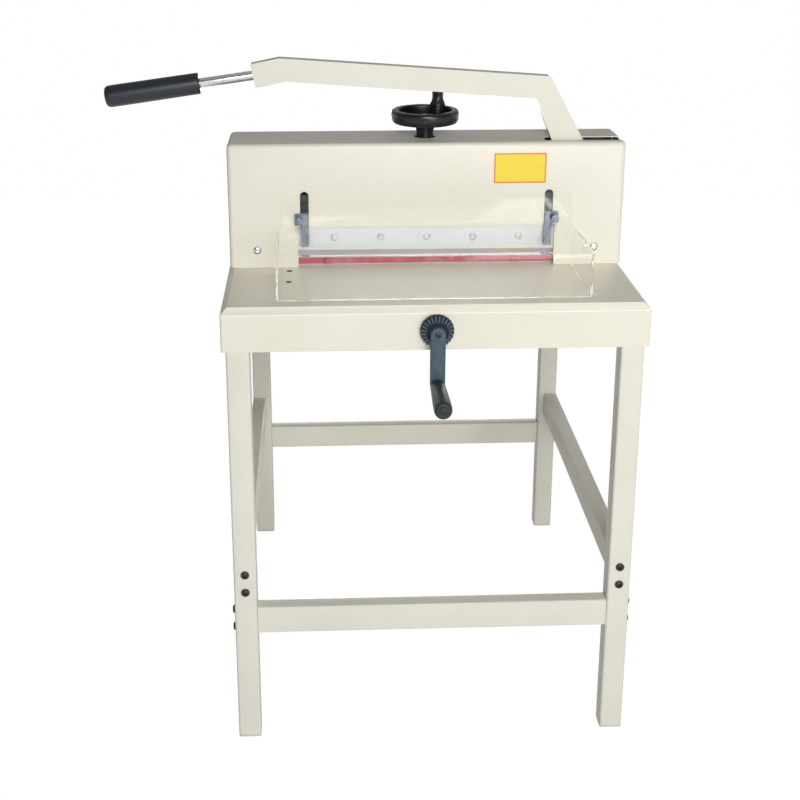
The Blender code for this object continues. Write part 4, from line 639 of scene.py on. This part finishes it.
profile = rounded([(rimInner, (rimTop + rimBottom) / 2), (rimInner, rimTop), (rimOuter, rimTop),
                   (rimOuter, rimBottom + wheel["shoulder"] * wheel["tall"]),
                   (rimOuter - wheel["taper"] * wheel["thick"], rimBottom), (rimInner, rimBottom),
                   (rimInner, (rimTop + rimBottom) / 2)], wheel["rimCuts"], 8)
grids = [turnedGrid(profile, centreLine, (0, 0, 1), wheel["steps"])]
firstSpoke = np.arctan2(knobAxis[1] - axis[1], knobAxis[0] - axis[0])
share = np.linspace(0, 1, 16)
flareWide, flareThick = wheel["spokeFlare"]
for number in range(3):
    turn = firstSpoke + 2 * pi * number / 3
    away = np.array([np.cos(turn), np.sin(turn), 0.0])
    reach = wheel["spokeFoot"] + (rimInner + wheel["spokeInto"] - wheel["spokeFoot"]) * share
    path = np.array([axis[0], axis[1], rimBottom + wheel["spokeLift"]]) + away * reach[:, None]
    wide = wheel["spokeWide"] * (1 + flareWide * (2 * share - 1) ** 4)
    thick = wheel["spokeThick"] * (1 + flareThick * (2 * share - 1) ** 4)
    size = np.stack([wide, thick], axis=-1)
    grids.append(closedEnds(carriedGrid(path, oval(wheel["spokeSquare"]), (0, 0, 1), size)))
seat = wheel["seatRadius"]
seatFoot = rimBottom + wheel["seatRise"]
profile = rounded([(0, seatFoot), (seat + wheel["seatFlare"], seatFoot), (seat, rimTop),
                   (0, rimTop)], wheel["seatEdge"])
grids.append(turnedGrid(profile, (knobAxis[0], knobAxis[1], 0), (0, 0, 1), 64))
bore, waist, hub = wheel["bore"], wheel["hubWaist"], wheel["hubRadius"]
hubTop = nutLow[2] - wheel["hubGap"]
profile = rounded([(bore, low[2]), (waist, low[2]), (waist, low[2] + wheel["waistTall"]),
                   (hub, rimBottom), (hub, hubTop), (bore, hubTop), (bore, low[2])],
                  wheel["hubCuts"], 7)
grids.append(turnedGrid(profile, centreLine, (0, 0, 1), 64))
wheelMoulding = moulding("wheelMoulding", {**blackLook, **wheel["finish"]})
standIn("handwheel_moulded", grids, wheelMoulding, "handwheel")

# the knob that spins on the rim: a flared foot, a slim neck and a domed top
knob = {"foot": 0.0130, "neck": 0.0086, "head": 0.0097, "bore": 0.0033, "footTop": 0.06,
        "neckAt": 0.42, "headAt": 0.84, "cuts": [0.0008, 0.0060, 0.0100, 0.0050, 0.0034, 0.0005]}
tall = knobHigh[2] - knobLow[2]
bore = knob["bore"]
profile = rounded([(bore, 0), (knob["foot"], 0), (knob["foot"], knob["footTop"] * tall),
                   (knob["neck"], knob["neckAt"] * tall), (knob["head"], knob["headAt"] * tall),
                   (knob["head"], tall), (bore, tall), (bore, 0)], knob["cuts"], 8)
grid = turnedGrid(profile, (knobAxis[0], knobAxis[1], knobLow[2]), (0, 0, 1), 64)
standIn("handwheel_knob_turned", [grid], wheelMoulding, "handwheel_knob")
print("handwheel")


# A screw: the radius swings between root and crest with the distance along the rod less the turn,
# radius = root + depth * clipped(0.5 + 0.9 cos(2 pi (height / pitch - turn))).
def threaded(radius, look, low=-np.inf, high=np.inf):
    depth = look["depth"]
    root = radius - depth

    def wave(angle, height):
        phase = height / look["pitch"] - angle / (2 * pi)
        crest = np.clip(0.5 + 0.9 * np.cos(2 * pi * phase), 0, 1)
        crest = np.where((height > low) & (height < high), crest, 0.0)
        return (root + depth * crest) / (root + depth)
    return wave


# the clamp spindle, with a square thread along its whole length
spindle = {"pitch": 0.005, "depth": 0.0009}
low, high = lowHigh("clamp_spindle")
centre = (low + high) / 2
radius = (high[0] - low[0]) / 2
heights = np.arange(0, high[2] - low[2], spindle["pitch"] / 14)
body = np.stack([np.full(len(heights), radius), heights], axis=-1)
profile = np.concatenate([[(0, 0)], body, [(radius, high[2] - low[2]), (0, high[2] - low[2])]])
foot = (centre[0], centre[1], low[2])
grid = turnedGrid(profile, foot, (0, 0, 1), 40, threaded(radius, spindle))
standIn("clamp_spindle_threaded", [grid], finishes["bright_steel"], "clamp_spindle", 50)
print("clamp spindle")

# the stand's bolts: domed black heads with a hexagon socket, two to a joint of leg and stretcher
bolt = {"head": 0.0068, "rise": 0.0042, "socket": 0.0024, "socketDepth": 0.0022, "apart": 0.0155,
        "drop": 0.0025}
toFront = (0, -1, 0)


# A button head: the dome's radius goes as cos t and its height as sin t, down from a lip round
# the socket. The socket's wall is turned too, and its radius is socket / cos((a mod 60) - 30).
def buttonHead(base, out, look):
    head, rise, socket = look["head"], look["rise"], look["socket"]
    t = np.linspace(0, pi / 2, 12)
    lip = socket * 1.22
    dome = np.stack([lip + (head - lip) * np.cos(t), rise * (0.28 + 0.72 * np.sin(t))], axis=-1)
    outside = np.concatenate([[(0, 0), (head * 0.97, 0), (head, rise * 0.06)], dome])
    floor = rise - look["socketDepth"]

    def hexagon(angle, height):
        return 1 / np.cos((angle % (pi / 3)) - pi / 6)
    well = turnedGrid([(socket, rise), (socket, floor), (0, floor)], base, out, 48, hexagon)
    return np.concatenate([turnedGrid(outside, base, out, 48), well])


def boltSet(name, places, out, node, look, material=boltBlack, slotName="black_plastic"):
    grids = [buttonHead(place, out, look) for place in places]
    addPiece(name, gridMesh(name, grids), material, node, 40)


heights = [bolt["apart"] * k - bolt["drop"] for k in (-1, 1)]
for side, outward in (("left", -1.0), ("right", 1.0)):
    for end, onward in (("front", -1.0), ("rear", 1.0)):
        leg = f"leg_{end}_{side}"
        low, high = lowHigh(leg)
        x, y, z = (low + high) / 2
        face = low[1] if end == "front" else high[1]
        outer = low[0] if side == "left" else high[0]
        rail = middle(f"stretcher_{side}")[2]
        places = [(x, face, rail + height) for height in heights]
        boltSet(f"bolts_{end}_{side}_face", places, (0, onward, 0), leg, bolt)
        rail = middle(f"stretcher_{end}")[2]
        places = [(outer, y, rail + height) for height in heights]
        boltSet(f"bolts_{end}_{side}_side", places, (outward, 0, 0), leg, bolt)
print("stand bolts")

# the housing's two front screws, and the rear cover's four
screw = {"head": 0.0066, "rise": 0.0030, "socket": 0.0021, "socketDepth": 0.0018,
         "spread": 0.274, "height": 0.0295, "rearSpread": 0.46, "rearHeights": (0.12, 0.88)}
steel = (finishes["bright_steel"], "bright_steel")
height = housingLow[2] + screw["height"]
places = [(centreX + screw["spread"] * k, frontY, height) for k in (-1, 1)]
boltSet("housing_screws_front", places, toFront, "housing_cover", screw, *steel)
rearLow, rearHigh = lowHigh("rear_cover")
wide, deep, tall = rearHigh - rearLow
places = [(centreX + wide * screw["rearSpread"] * k, rearHigh[1], rearLow[2] + tall * h)
          for k in (-1, 1) for h in screw["rearHeights"]]
boltSet("housing_screws_rear", places, (0, 1, 0), "rear_cover", screw, *steel)
print("housing screws")

# the knife's bolts in the carrier, two small screws in the table, and the cutting stick's lugs
knifeBolt = {"head": 0.0060, "rise": 0.0022, "socket": 0.0019, "socketDepth": 0.0015,
             "height": 0.0408, "spread": (-0.150, -0.075, 0.0, 0.075, 0.150)}
low = lowHigh("knife_carrier")[0]
places = [(centreX + x, low[1], low[2] + knifeBolt["height"]) for x in knifeBolt["spread"]]
boltSet("knife_bolts", places, toFront, "knife_carrier", knifeBolt, *steel)
tableScrew = {"head": 0.0048, "rise": 0.0010, "socket": 0.0017, "socketDepth": 0.0008,
              "aside": 0.2225, "ahead": (0.019, 0.079)}
tableTop = lowHigh("table_casing")[1][2]
places = [(centreX - tableScrew["aside"], frontY - y, tableTop) for y in tableScrew["ahead"]]
boltSet("table_screws", places, (0, 0, 1), "table_casing", tableScrew)
lug = {"head": 0.0052, "rise": 0.0046, "socket": 0.0012, "socketDepth": 0.0004,
       "spread": (-0.161, 0.143), "height": 0.0058}
low = lowHigh("cutting_stick")[0]
places = [(centreX + x, low[1], low[2] + lug["height"]) for x in lug["spread"]]
boltSet("stick_lugs", places, toFront, "cutting_stick", lug, finishes["red_plastic"],
        "red_plastic")
print("knife bolts, table screws and lugs")

# the crank: a dial with a fluted bevel, an arm with two round ends, and a grip on its pin
dial = {"radius": 0.0257, "face": 0.0165, "rim": 0.0058, "flutes": 24, "depth": 0.0017,
        "bore": 0.0073, "dish": 0.0012, "lip": 0.001, "slope": 0.003, "edge": 0.0006, "steps": 312,
        # the first colour here is a painted highlight for the dial's rib crests
        "mark": (108, 122, 140), "colour": (28, 37, 48), "rubColour": (46, 57, 70)}
dialLow, dialHigh = lowHigh("crank_dial")
screwLow, screwHigh = lowHigh("leadscrew")
crankAxis = middle("leadscrew")
length = dialHigh[1] - dialLow[1]
bevel = np.linspace((dial["radius"], dial["rim"]), (dial["face"], length), 9)
face, bore, edge = dial["face"], dial["bore"], dial["edge"]
floor = length - dial["dish"]
flat = rounded([(face, length), (face - dial["lip"], length), (face - dial["slope"], floor),
                (bore, floor), (bore, 0)], edge, 4)
rim = [(bore, 0), (dial["radius"] - edge, 0), (dial["radius"], edge)]
profile = np.concatenate([rim, bevel, flat[1:]])


# Flutes on the dial's bevel: the radius shrinks by depth times (0.5 + 0.5 cos(n a)) ^ 0.7
def fluted(angle, height):
    groove = (0.5 + 0.5 * np.cos(dial["flutes"] * angle)) ** 0.7
    near = np.clip(height / 0.002, 0, 1) * np.clip((length - height) / 0.0025, 0, 1)
    return 1 - dial["depth"] / dial["radius"] * groove * near


foot = (crankAxis[0], dialHigh[1], crankAxis[2])
standIn("crank_dial_fluted", [turnedGrid(profile, foot, toFront, dial["steps"], fluted)],
        dialFinish("dialMoulding", {**blackLook, **dial}, crankAxis), "crank_dial", 60)


# A bar with two round ends: at angle a the outline is centre + (radius - inset) (cos a, sin a),
# about the upper centre for its upper half and the lower centre for its lower half.
def roundEnded(upper, lower, upperRadius, lowerRadius, layers, steps=24):
    half = np.linspace(0, pi, steps)
    angle = np.concatenate([half, half + pi])
    centre = np.concatenate([np.repeat([upper], steps, 0), np.repeat([lower], steps, 0)])
    radius = np.concatenate([np.full(steps, upperRadius), np.full(steps, lowerRadius)])
    rings = []
    for inset, y in layers:
        reach = np.maximum(radius - inset, 0)
        x = centre[:, 0] + reach * np.cos(angle)
        z = centre[:, 1] + reach * np.sin(angle)
        rings.append(np.stack([x, np.full(len(x), y), z], axis=-1))
    return np.array(rings)


arm = {"upper": 0.0114, "lower": 0.0112, "edge": 0.0022, "backEdge": 0.0006}
armLow, armHigh = lowHigh("crank_arm")
gripLow, gripHigh = lowHigh("crank_grip")
gripAxis = middle("crank_grip")
edge = arm["edge"]
turn = np.linspace(0, pi / 2, 6)
front = [(edge * (1 - np.cos(a)), armLow[1] + edge * (1 - np.sin(a))) for a in turn]
back = [(1.0, armHigh[1]), (arm["backEdge"], armHigh[1]), (0.0, armHigh[1] - arm["backEdge"])]
grid = roundEnded(crankAxis[[0, 2]], gripAxis[[0, 2]], arm["upper"], arm["lower"],
                  [*back, *front, (1.0, armLow[1])])
standIn("crank_arm_moulded", [grid], finishes["slate_plastic"], "crank_arm")
hubScrew = {"head": 0.0044, "rise": 0.0012, "socket": 0.0018, "socketDepth": 0.0010}
places = [(crankAxis[0], armLow[1], crankAxis[2])]
boltSet("crank_hub_screw", places, toFront, "crank_arm", hubScrew)

sleeve = {"foot": 0.0108, "neck": 0.0114, "swell": 0.0134, "end": 0.0122, "mouth": 0.0058,
          "bore": 0.0045, "neckAt": 0.03, "swellFrom": 0.72, "swellTo": 0.93, "well": 0.0033,
          "cuts": [0.0008, 0.004, 0.030, 0.010, 0.0042, 0.0010, 0.0004],
          "finish": {**blackLook, "colour": (28, 41, 47), "rubColour": (46, 60, 66), "shine": 0.4}}
long = gripHigh[1] - gripLow[1]
inside = long - sleeve["well"]
bore, swell, mouth = sleeve["bore"], sleeve["swell"], sleeve["mouth"]
profile = rounded([(bore, 0), (sleeve["foot"], 0), (sleeve["neck"], sleeve["neckAt"] * long),
                   (swell, sleeve["swellFrom"] * long), (swell, sleeve["swellTo"] * long),
                   (sleeve["end"], long), (mouth, long), (mouth, inside), (bore, inside)],
                  sleeve["cuts"], 8)
profile = np.concatenate([profile, profile[:1]])
foot = (gripAxis[0], gripHigh[1], gripAxis[2])
standIn("crank_grip_moulded", [turnedGrid(profile, foot, toFront, 72)],
        moulding("sleeveMoulding", sleeve["finish"]), "crank_grip")
pinFront = lowHigh("crank_grip_pin")[0][1]
capScrew = {"head": 0.0058, "rise": 0.0008, "socket": 0.0026, "socketDepth": 0.0006}
places = [(gripAxis[0], pinFront, gripAxis[2])]
boltSet("crank_pin_cap", places, toFront, "crank_grip_pin", capScrew)
print("crank")

# the lead screw: two plain ends and a square thread between its bearings
lead = {"pitch": 0.010, "depth": 0.0013, "front": 0.0070, "rear": 0.0060, "short": 0.0026,
        "play": 0.0003, "edge": 0.0006, "runOut": 0.002}
start = lowHigh("leadscrew_bush_front")[1][1] + lead["play"] - screwLow[1]
stop = lowHigh("leadscrew_bush_rear")[0][1] - lead["play"] - screwLow[1]
radius = (screwHigh[0] - screwLow[0]) / 2
total = screwHigh[1] - screwLow[1]
heights = np.arange(start, stop, lead["pitch"] / 12)
body = np.stack([np.full(len(heights), radius), heights], axis=-1)
front, rear, short, edge = lead["front"], lead["rear"], lead["short"], lead["edge"]
before = [(0, short), (front - edge, short), (front, short + edge), (front, start)]
after = [(rear, stop), (rear, total - edge), (rear - edge, total), (0, total)]
profile = np.concatenate([before, body, after])
threadWave = threaded(radius, lead, start + lead["runOut"], stop - lead["runOut"])


def leadWave(angle, height):    # plain beyond the thread's two ends
    inside = (height >= start) & (height <= stop)
    return np.where(inside, threadWave(angle, height), 1.0)


foot = (crankAxis[0], screwLow[1], crankAxis[2])
standIn("leadscrew_threaded", [turnedGrid(profile, foot, (0, 1, 0), 40, leadWave)],
        finishes["bright_steel"], "leadscrew", 50)
print("lead screw")

# the hood's two thumb screws, knurled round their heads
thumb = {"knurls": 28, "knurlDepth": 0.05, "knurlFrom": 0.0012, "knurlTo": 0.0061,
         "shank": 0.0030, "neck": 0.0048, "headLength": 0.0068, "length": 0.0100,
         "button": (0.55, 0.60), "proud": 0.0005,
         "cuts": [0.0001, 0.0001, 0.0008, 0.0008, 0.0006, 0.0003, 0.0001, 0.0003]}


def knurled(angle, height):    # sharp little ridges on the head's outside
    ridge = np.abs(((angle * thumb["knurls"] / pi) % 2) - 1)
    on = (height > thumb["knurlFrom"]) & (height < thumb["knurlTo"])
    return 1 - thumb["knurlDepth"] * np.where(on, ridge, 0.4)


for side in ("left", "right"):
    node = f"guard_screw_{side}"
    low, high = lowHigh(node)
    centre = (low + high) / 2
    head = (high[0] - low[0]) / 2
    whole = high[1] - low[1]
    inner, outer = thumb["button"]
    neck, shank, proud = thumb["neck"], thumb["shank"], thumb["proud"]
    under, deep = thumb["headLength"], thumb["length"]
    profile = rounded([(0, 0), (head * inner, 0), (head * outer, proud), (head, proud),
                       (head, under), (neck, under), (neck, deep), (shank, deep), (shank, whole),
                       (0, whole)], thumb["cuts"])
    grid = turnedGrid(profile, (centre[0], low[1], centre[2]), (0, 1, 0), 168, knurled)
    standIn(f"{node}_knurled", [grid], zinc, node, 40)
print("thumb screws")

# the bare yellow plate with its orange border
plate = {"left": 0.107, "right": 0.191, "bottom": 0.877, "top": 0.926, "border": 0.0024,
         "corner": 0.0015, "thick": 0.0004, "yellow": (243, 217, 48), "shade": (239, 211, 42),
         "orange": (229, 133, 62)}


# a rounded rectangle of points, counter-clockwise: each corner is a quarter circle
def roundedRectangle(left, right, bottom, top, radius, steps=6):
    quarter = np.linspace(0, pi / 2, steps)
    angle = np.concatenate([quarter + pi / 2 * k for k in range(4)])
    x = np.repeat([right - radius, left + radius, left + radius, right - radius], steps)
    z = np.repeat([top - radius, top - radius, bottom + radius, bottom + radius], steps)
    return np.stack([x + radius * np.cos(angle), z + radius * np.sin(angle)], axis=-1)


def plateFinish(name, look, centre, half):
    material, shader, start, place = newFinish(name, {"Coat Weight": 0.3})
    x, y, z = place.parts()
    edgeX = start.maths("ABSOLUTE", x - centre[0]).over(half[0] - look["border"])
    edgeZ = start.maths("ABSOLUTE", z - centre[2]).over(half[1] - look["border"])
    border = start.maths("MAXIMUM", edgeX, edgeZ)
    cloud = place.noise(60.0, 3.0)
    tone = cloud.ranged(0.3, 0.7)
    yellow = tone.mixed(screenColour(*look["yellow"]), screenColour(*look["shade"]))
    plug(shader, BaseColor=border.mixed(yellow, screenColour(*look["orange"])),
         Roughness=0.34 + cloud * 0.12, Normal=start.bump(place.noise(700.0), 0.05, 0.0002))
    return material


outline = roundedRectangle(*[plate[key] for key in ("left", "right", "bottom", "top", "corner")])
mid = outline.mean(axis=0)
rings = []
for shrink, proud in ((1.0, 0.0), (1.0, 0.8), (0.995, 1.0), (0.985, 1.0), (0.0, 1.0)):
    ring = mid + (outline - mid) * shrink
    y = np.full(len(ring), frontY - plate["thick"] * proud)
    rings.append(np.stack([ring[:, 0] + centreX, y, ring[:, 1]], axis=-1))
grid = np.array(rings)
grid = np.concatenate([np.broadcast_to(grid[0].mean(axis=0), grid[:1].shape), grid])
plateCentre = grid[-1].mean(axis=0)
half = ((plate["right"] - plate["left"]) / 2, (plate["top"] - plate["bottom"]) / 2)
addPiece("yellow_plate", gridMesh("yellow_plate", [grid]),
         plateFinish("yellowPlate", plate, plateCentre, half), "housing_cover")
print("plate")

# How much of the white studio a ray meets: all of it straight on or through the acrylic, a share
# once it has been mirrored, and none once it has bounced off something matt.
def studioSeen(start, mirrored):
    camera = start.node("ShaderNodeLightPath", out="Is Camera Ray")
    outputs = camera.socket.node.outputs
    glossy, through, matt, shiny = [Wire(start.tree, outputs[name]) for name in (
        "Is Glossy Ray", "Is Transmission Ray", "Diffuse Depth", "Glossy Depth")]
    share = (1 - matt.over(0.5)) * (1 - shiny.over(0.5) * (1 - mirrored))
    return start.maths("MAXIMUM", camera, start.maths("MAXIMUM", glossy, through) * share)


# the floor and backdrop: one sheet that curves up behind, white to the camera with a faint shadow
stage = {"wide": 16.0, "front": -9.0, "back": 6.0, "tall": 8.0, "bend": 2.0, "white": 0.90,
         "glow": 1.04, "shadowShare": 0.05, "floorMirrored": 0.90, "wallMirrored": 0.28,
         "fade": (0.1, 1.2)}
t = np.linspace(0, pi / 2, 24)
bendY = stage["back"] - stage["bend"] + stage["bend"] * np.sin(t)
bendZ = stage["bend"] - stage["bend"] * np.cos(t)
lineY = np.concatenate([[stage["front"]], bendY, [stage["back"]]])
lineZ = np.concatenate([[0.0], bendZ, [stage["tall"]]])
lineX = np.array([-stage["wide"] / 2, stage["wide"] / 2])
sheet = np.stack(np.broadcast_arrays(lineX, lineY[:, None], lineZ[:, None]), axis=-1)
mesh = gridMesh("backdrop", [sheet], wrapColumns=False)
backdrop = bpy.data.objects.new("backdrop", mesh)
bpy.context.scene.collection.objects.link(backdrop)
mesh.shade_smooth()
constants = {"Roughness": 0.9, "Specular IOR Level": 0.1}
material, shader, start, place = newFinish("studioPaper", constants)
white = stage["white"]
shade = (white * 0.99, white * 0.99, white * 0.985, 1)
plug(shader, BaseColor=place.noise(3.0).mixed((white, white, white, 1), shade))
drop = stage["floorMirrored"] - stage["wallMirrored"]
mirrored = stage["floorMirrored"] - drop * place.parts()[2].ranged(*stage["fade"])
seen = studioSeen(start, mirrored) * (1 - stage["shadowShare"])
glow = start.node("ShaderNodeEmission", {}, {"Color": (1, 1, 1, 1), "Strength": stage["glow"]})
showMix(material, seen, Wire(material.node_tree, shader.outputs[0]), glow)
mesh.materials.append(material)

# the room: white to the camera, less so in reflections, and a dim even light on everything else
scene = bpy.context.scene
scene.view_settings.view_transform = "Standard"
world = bpy.data.worlds.new("studio")
scene.world = world
world.use_nodes = True
tree = world.node_tree
tree.nodes.clear()
start = Wire(tree)
room = {"fill": 0.05, "mirrored": 0.22}
seen = studioSeen(start, room["mirrored"])
dim = start.node("ShaderNodeBackground", {}, {"Color": (1, 1, 1, 1), "Strength": room["fill"]})
bright = start.node("ShaderNodeBackground", {}, {"Color": (1, 1, 1, 1), "Strength": 1.0})
blend = start.node("ShaderNodeMixShader", {}, {0: seen, 1: dim, 2: bright})
output = tree.nodes.new("ShaderNodeOutputWorld")
tree.links.new(blend.socket, output.inputs[0])


# a soft lamp aimed at a point
def softLamp(name, place, target, width, height, watts):
    lamp = bpy.data.lights.new(name, "AREA")
    lamp.shape = "RECTANGLE"
    lamp.size = width
    lamp.size_y = height
    lamp.energy = watts
    holder = bpy.data.objects.new(name, lamp)
    scene.collection.objects.link(holder)
    holder.location = place
    away = np.array(place, float) - np.array(target, float)
    holder.rotation_euler = Vector(away).to_track_quat("Z", "Y").to_euler()
    holder.visible_transmission = False    # it already shines through the acrylic


softLamp("frontLamp", (0.34, -3.8, 2.12), (0, -0.1, 0.62), 1.6, 1.4, 94)
softLamp("frontFill", (1.35, -3.2, 1.05), (0, -0.1, 0.5), 1.4, 0.8, 25)
softLamp("topLamp", (0.1, 0.1, 3.2), (0, 0, 0.7), 2.2, 2.2, 3.4)
softLamp("rearLamp", (0.3, 3.4, 0.55), (0, 0.3, 0.5), 1.9, 0.8, 52)
softLamp("leftLamp", (-3.4, 0.8, 1.1), (0, 0.1, 0.6), 1.4, 1.4, 1.5)
softLamp("rightLamp", (3.4, 0.4, 1.2), (0, 0.1, 0.6), 1.6, 1.6, 9)

# the camera, where the photograph was taken from
view = {"place": (-0.1696, -2.1306, 1.3719), "tilt": 72.093, "turn": -2.526, "lens": 61.41,
        "shiftX": 0.025, "shiftY": -0.125}
camera = bpy.data.objects.new("photoCamera", bpy.data.cameras.new("photoCamera"))
scene.collection.objects.link(camera)
camera.location = (centreX + view["place"][0], frontY + view["place"][1], view["place"][2])
camera.rotation_euler = (radians(view["tilt"]), 0, radians(view["turn"]))
camera.data.sensor_width = 36.0
camera.data.lens = view["lens"]
camera.data.shift_x = view["shiftX"]
camera.data.shift_y = view["shiftY"]
scene.camera = camera
print("stage, lamps and camera")
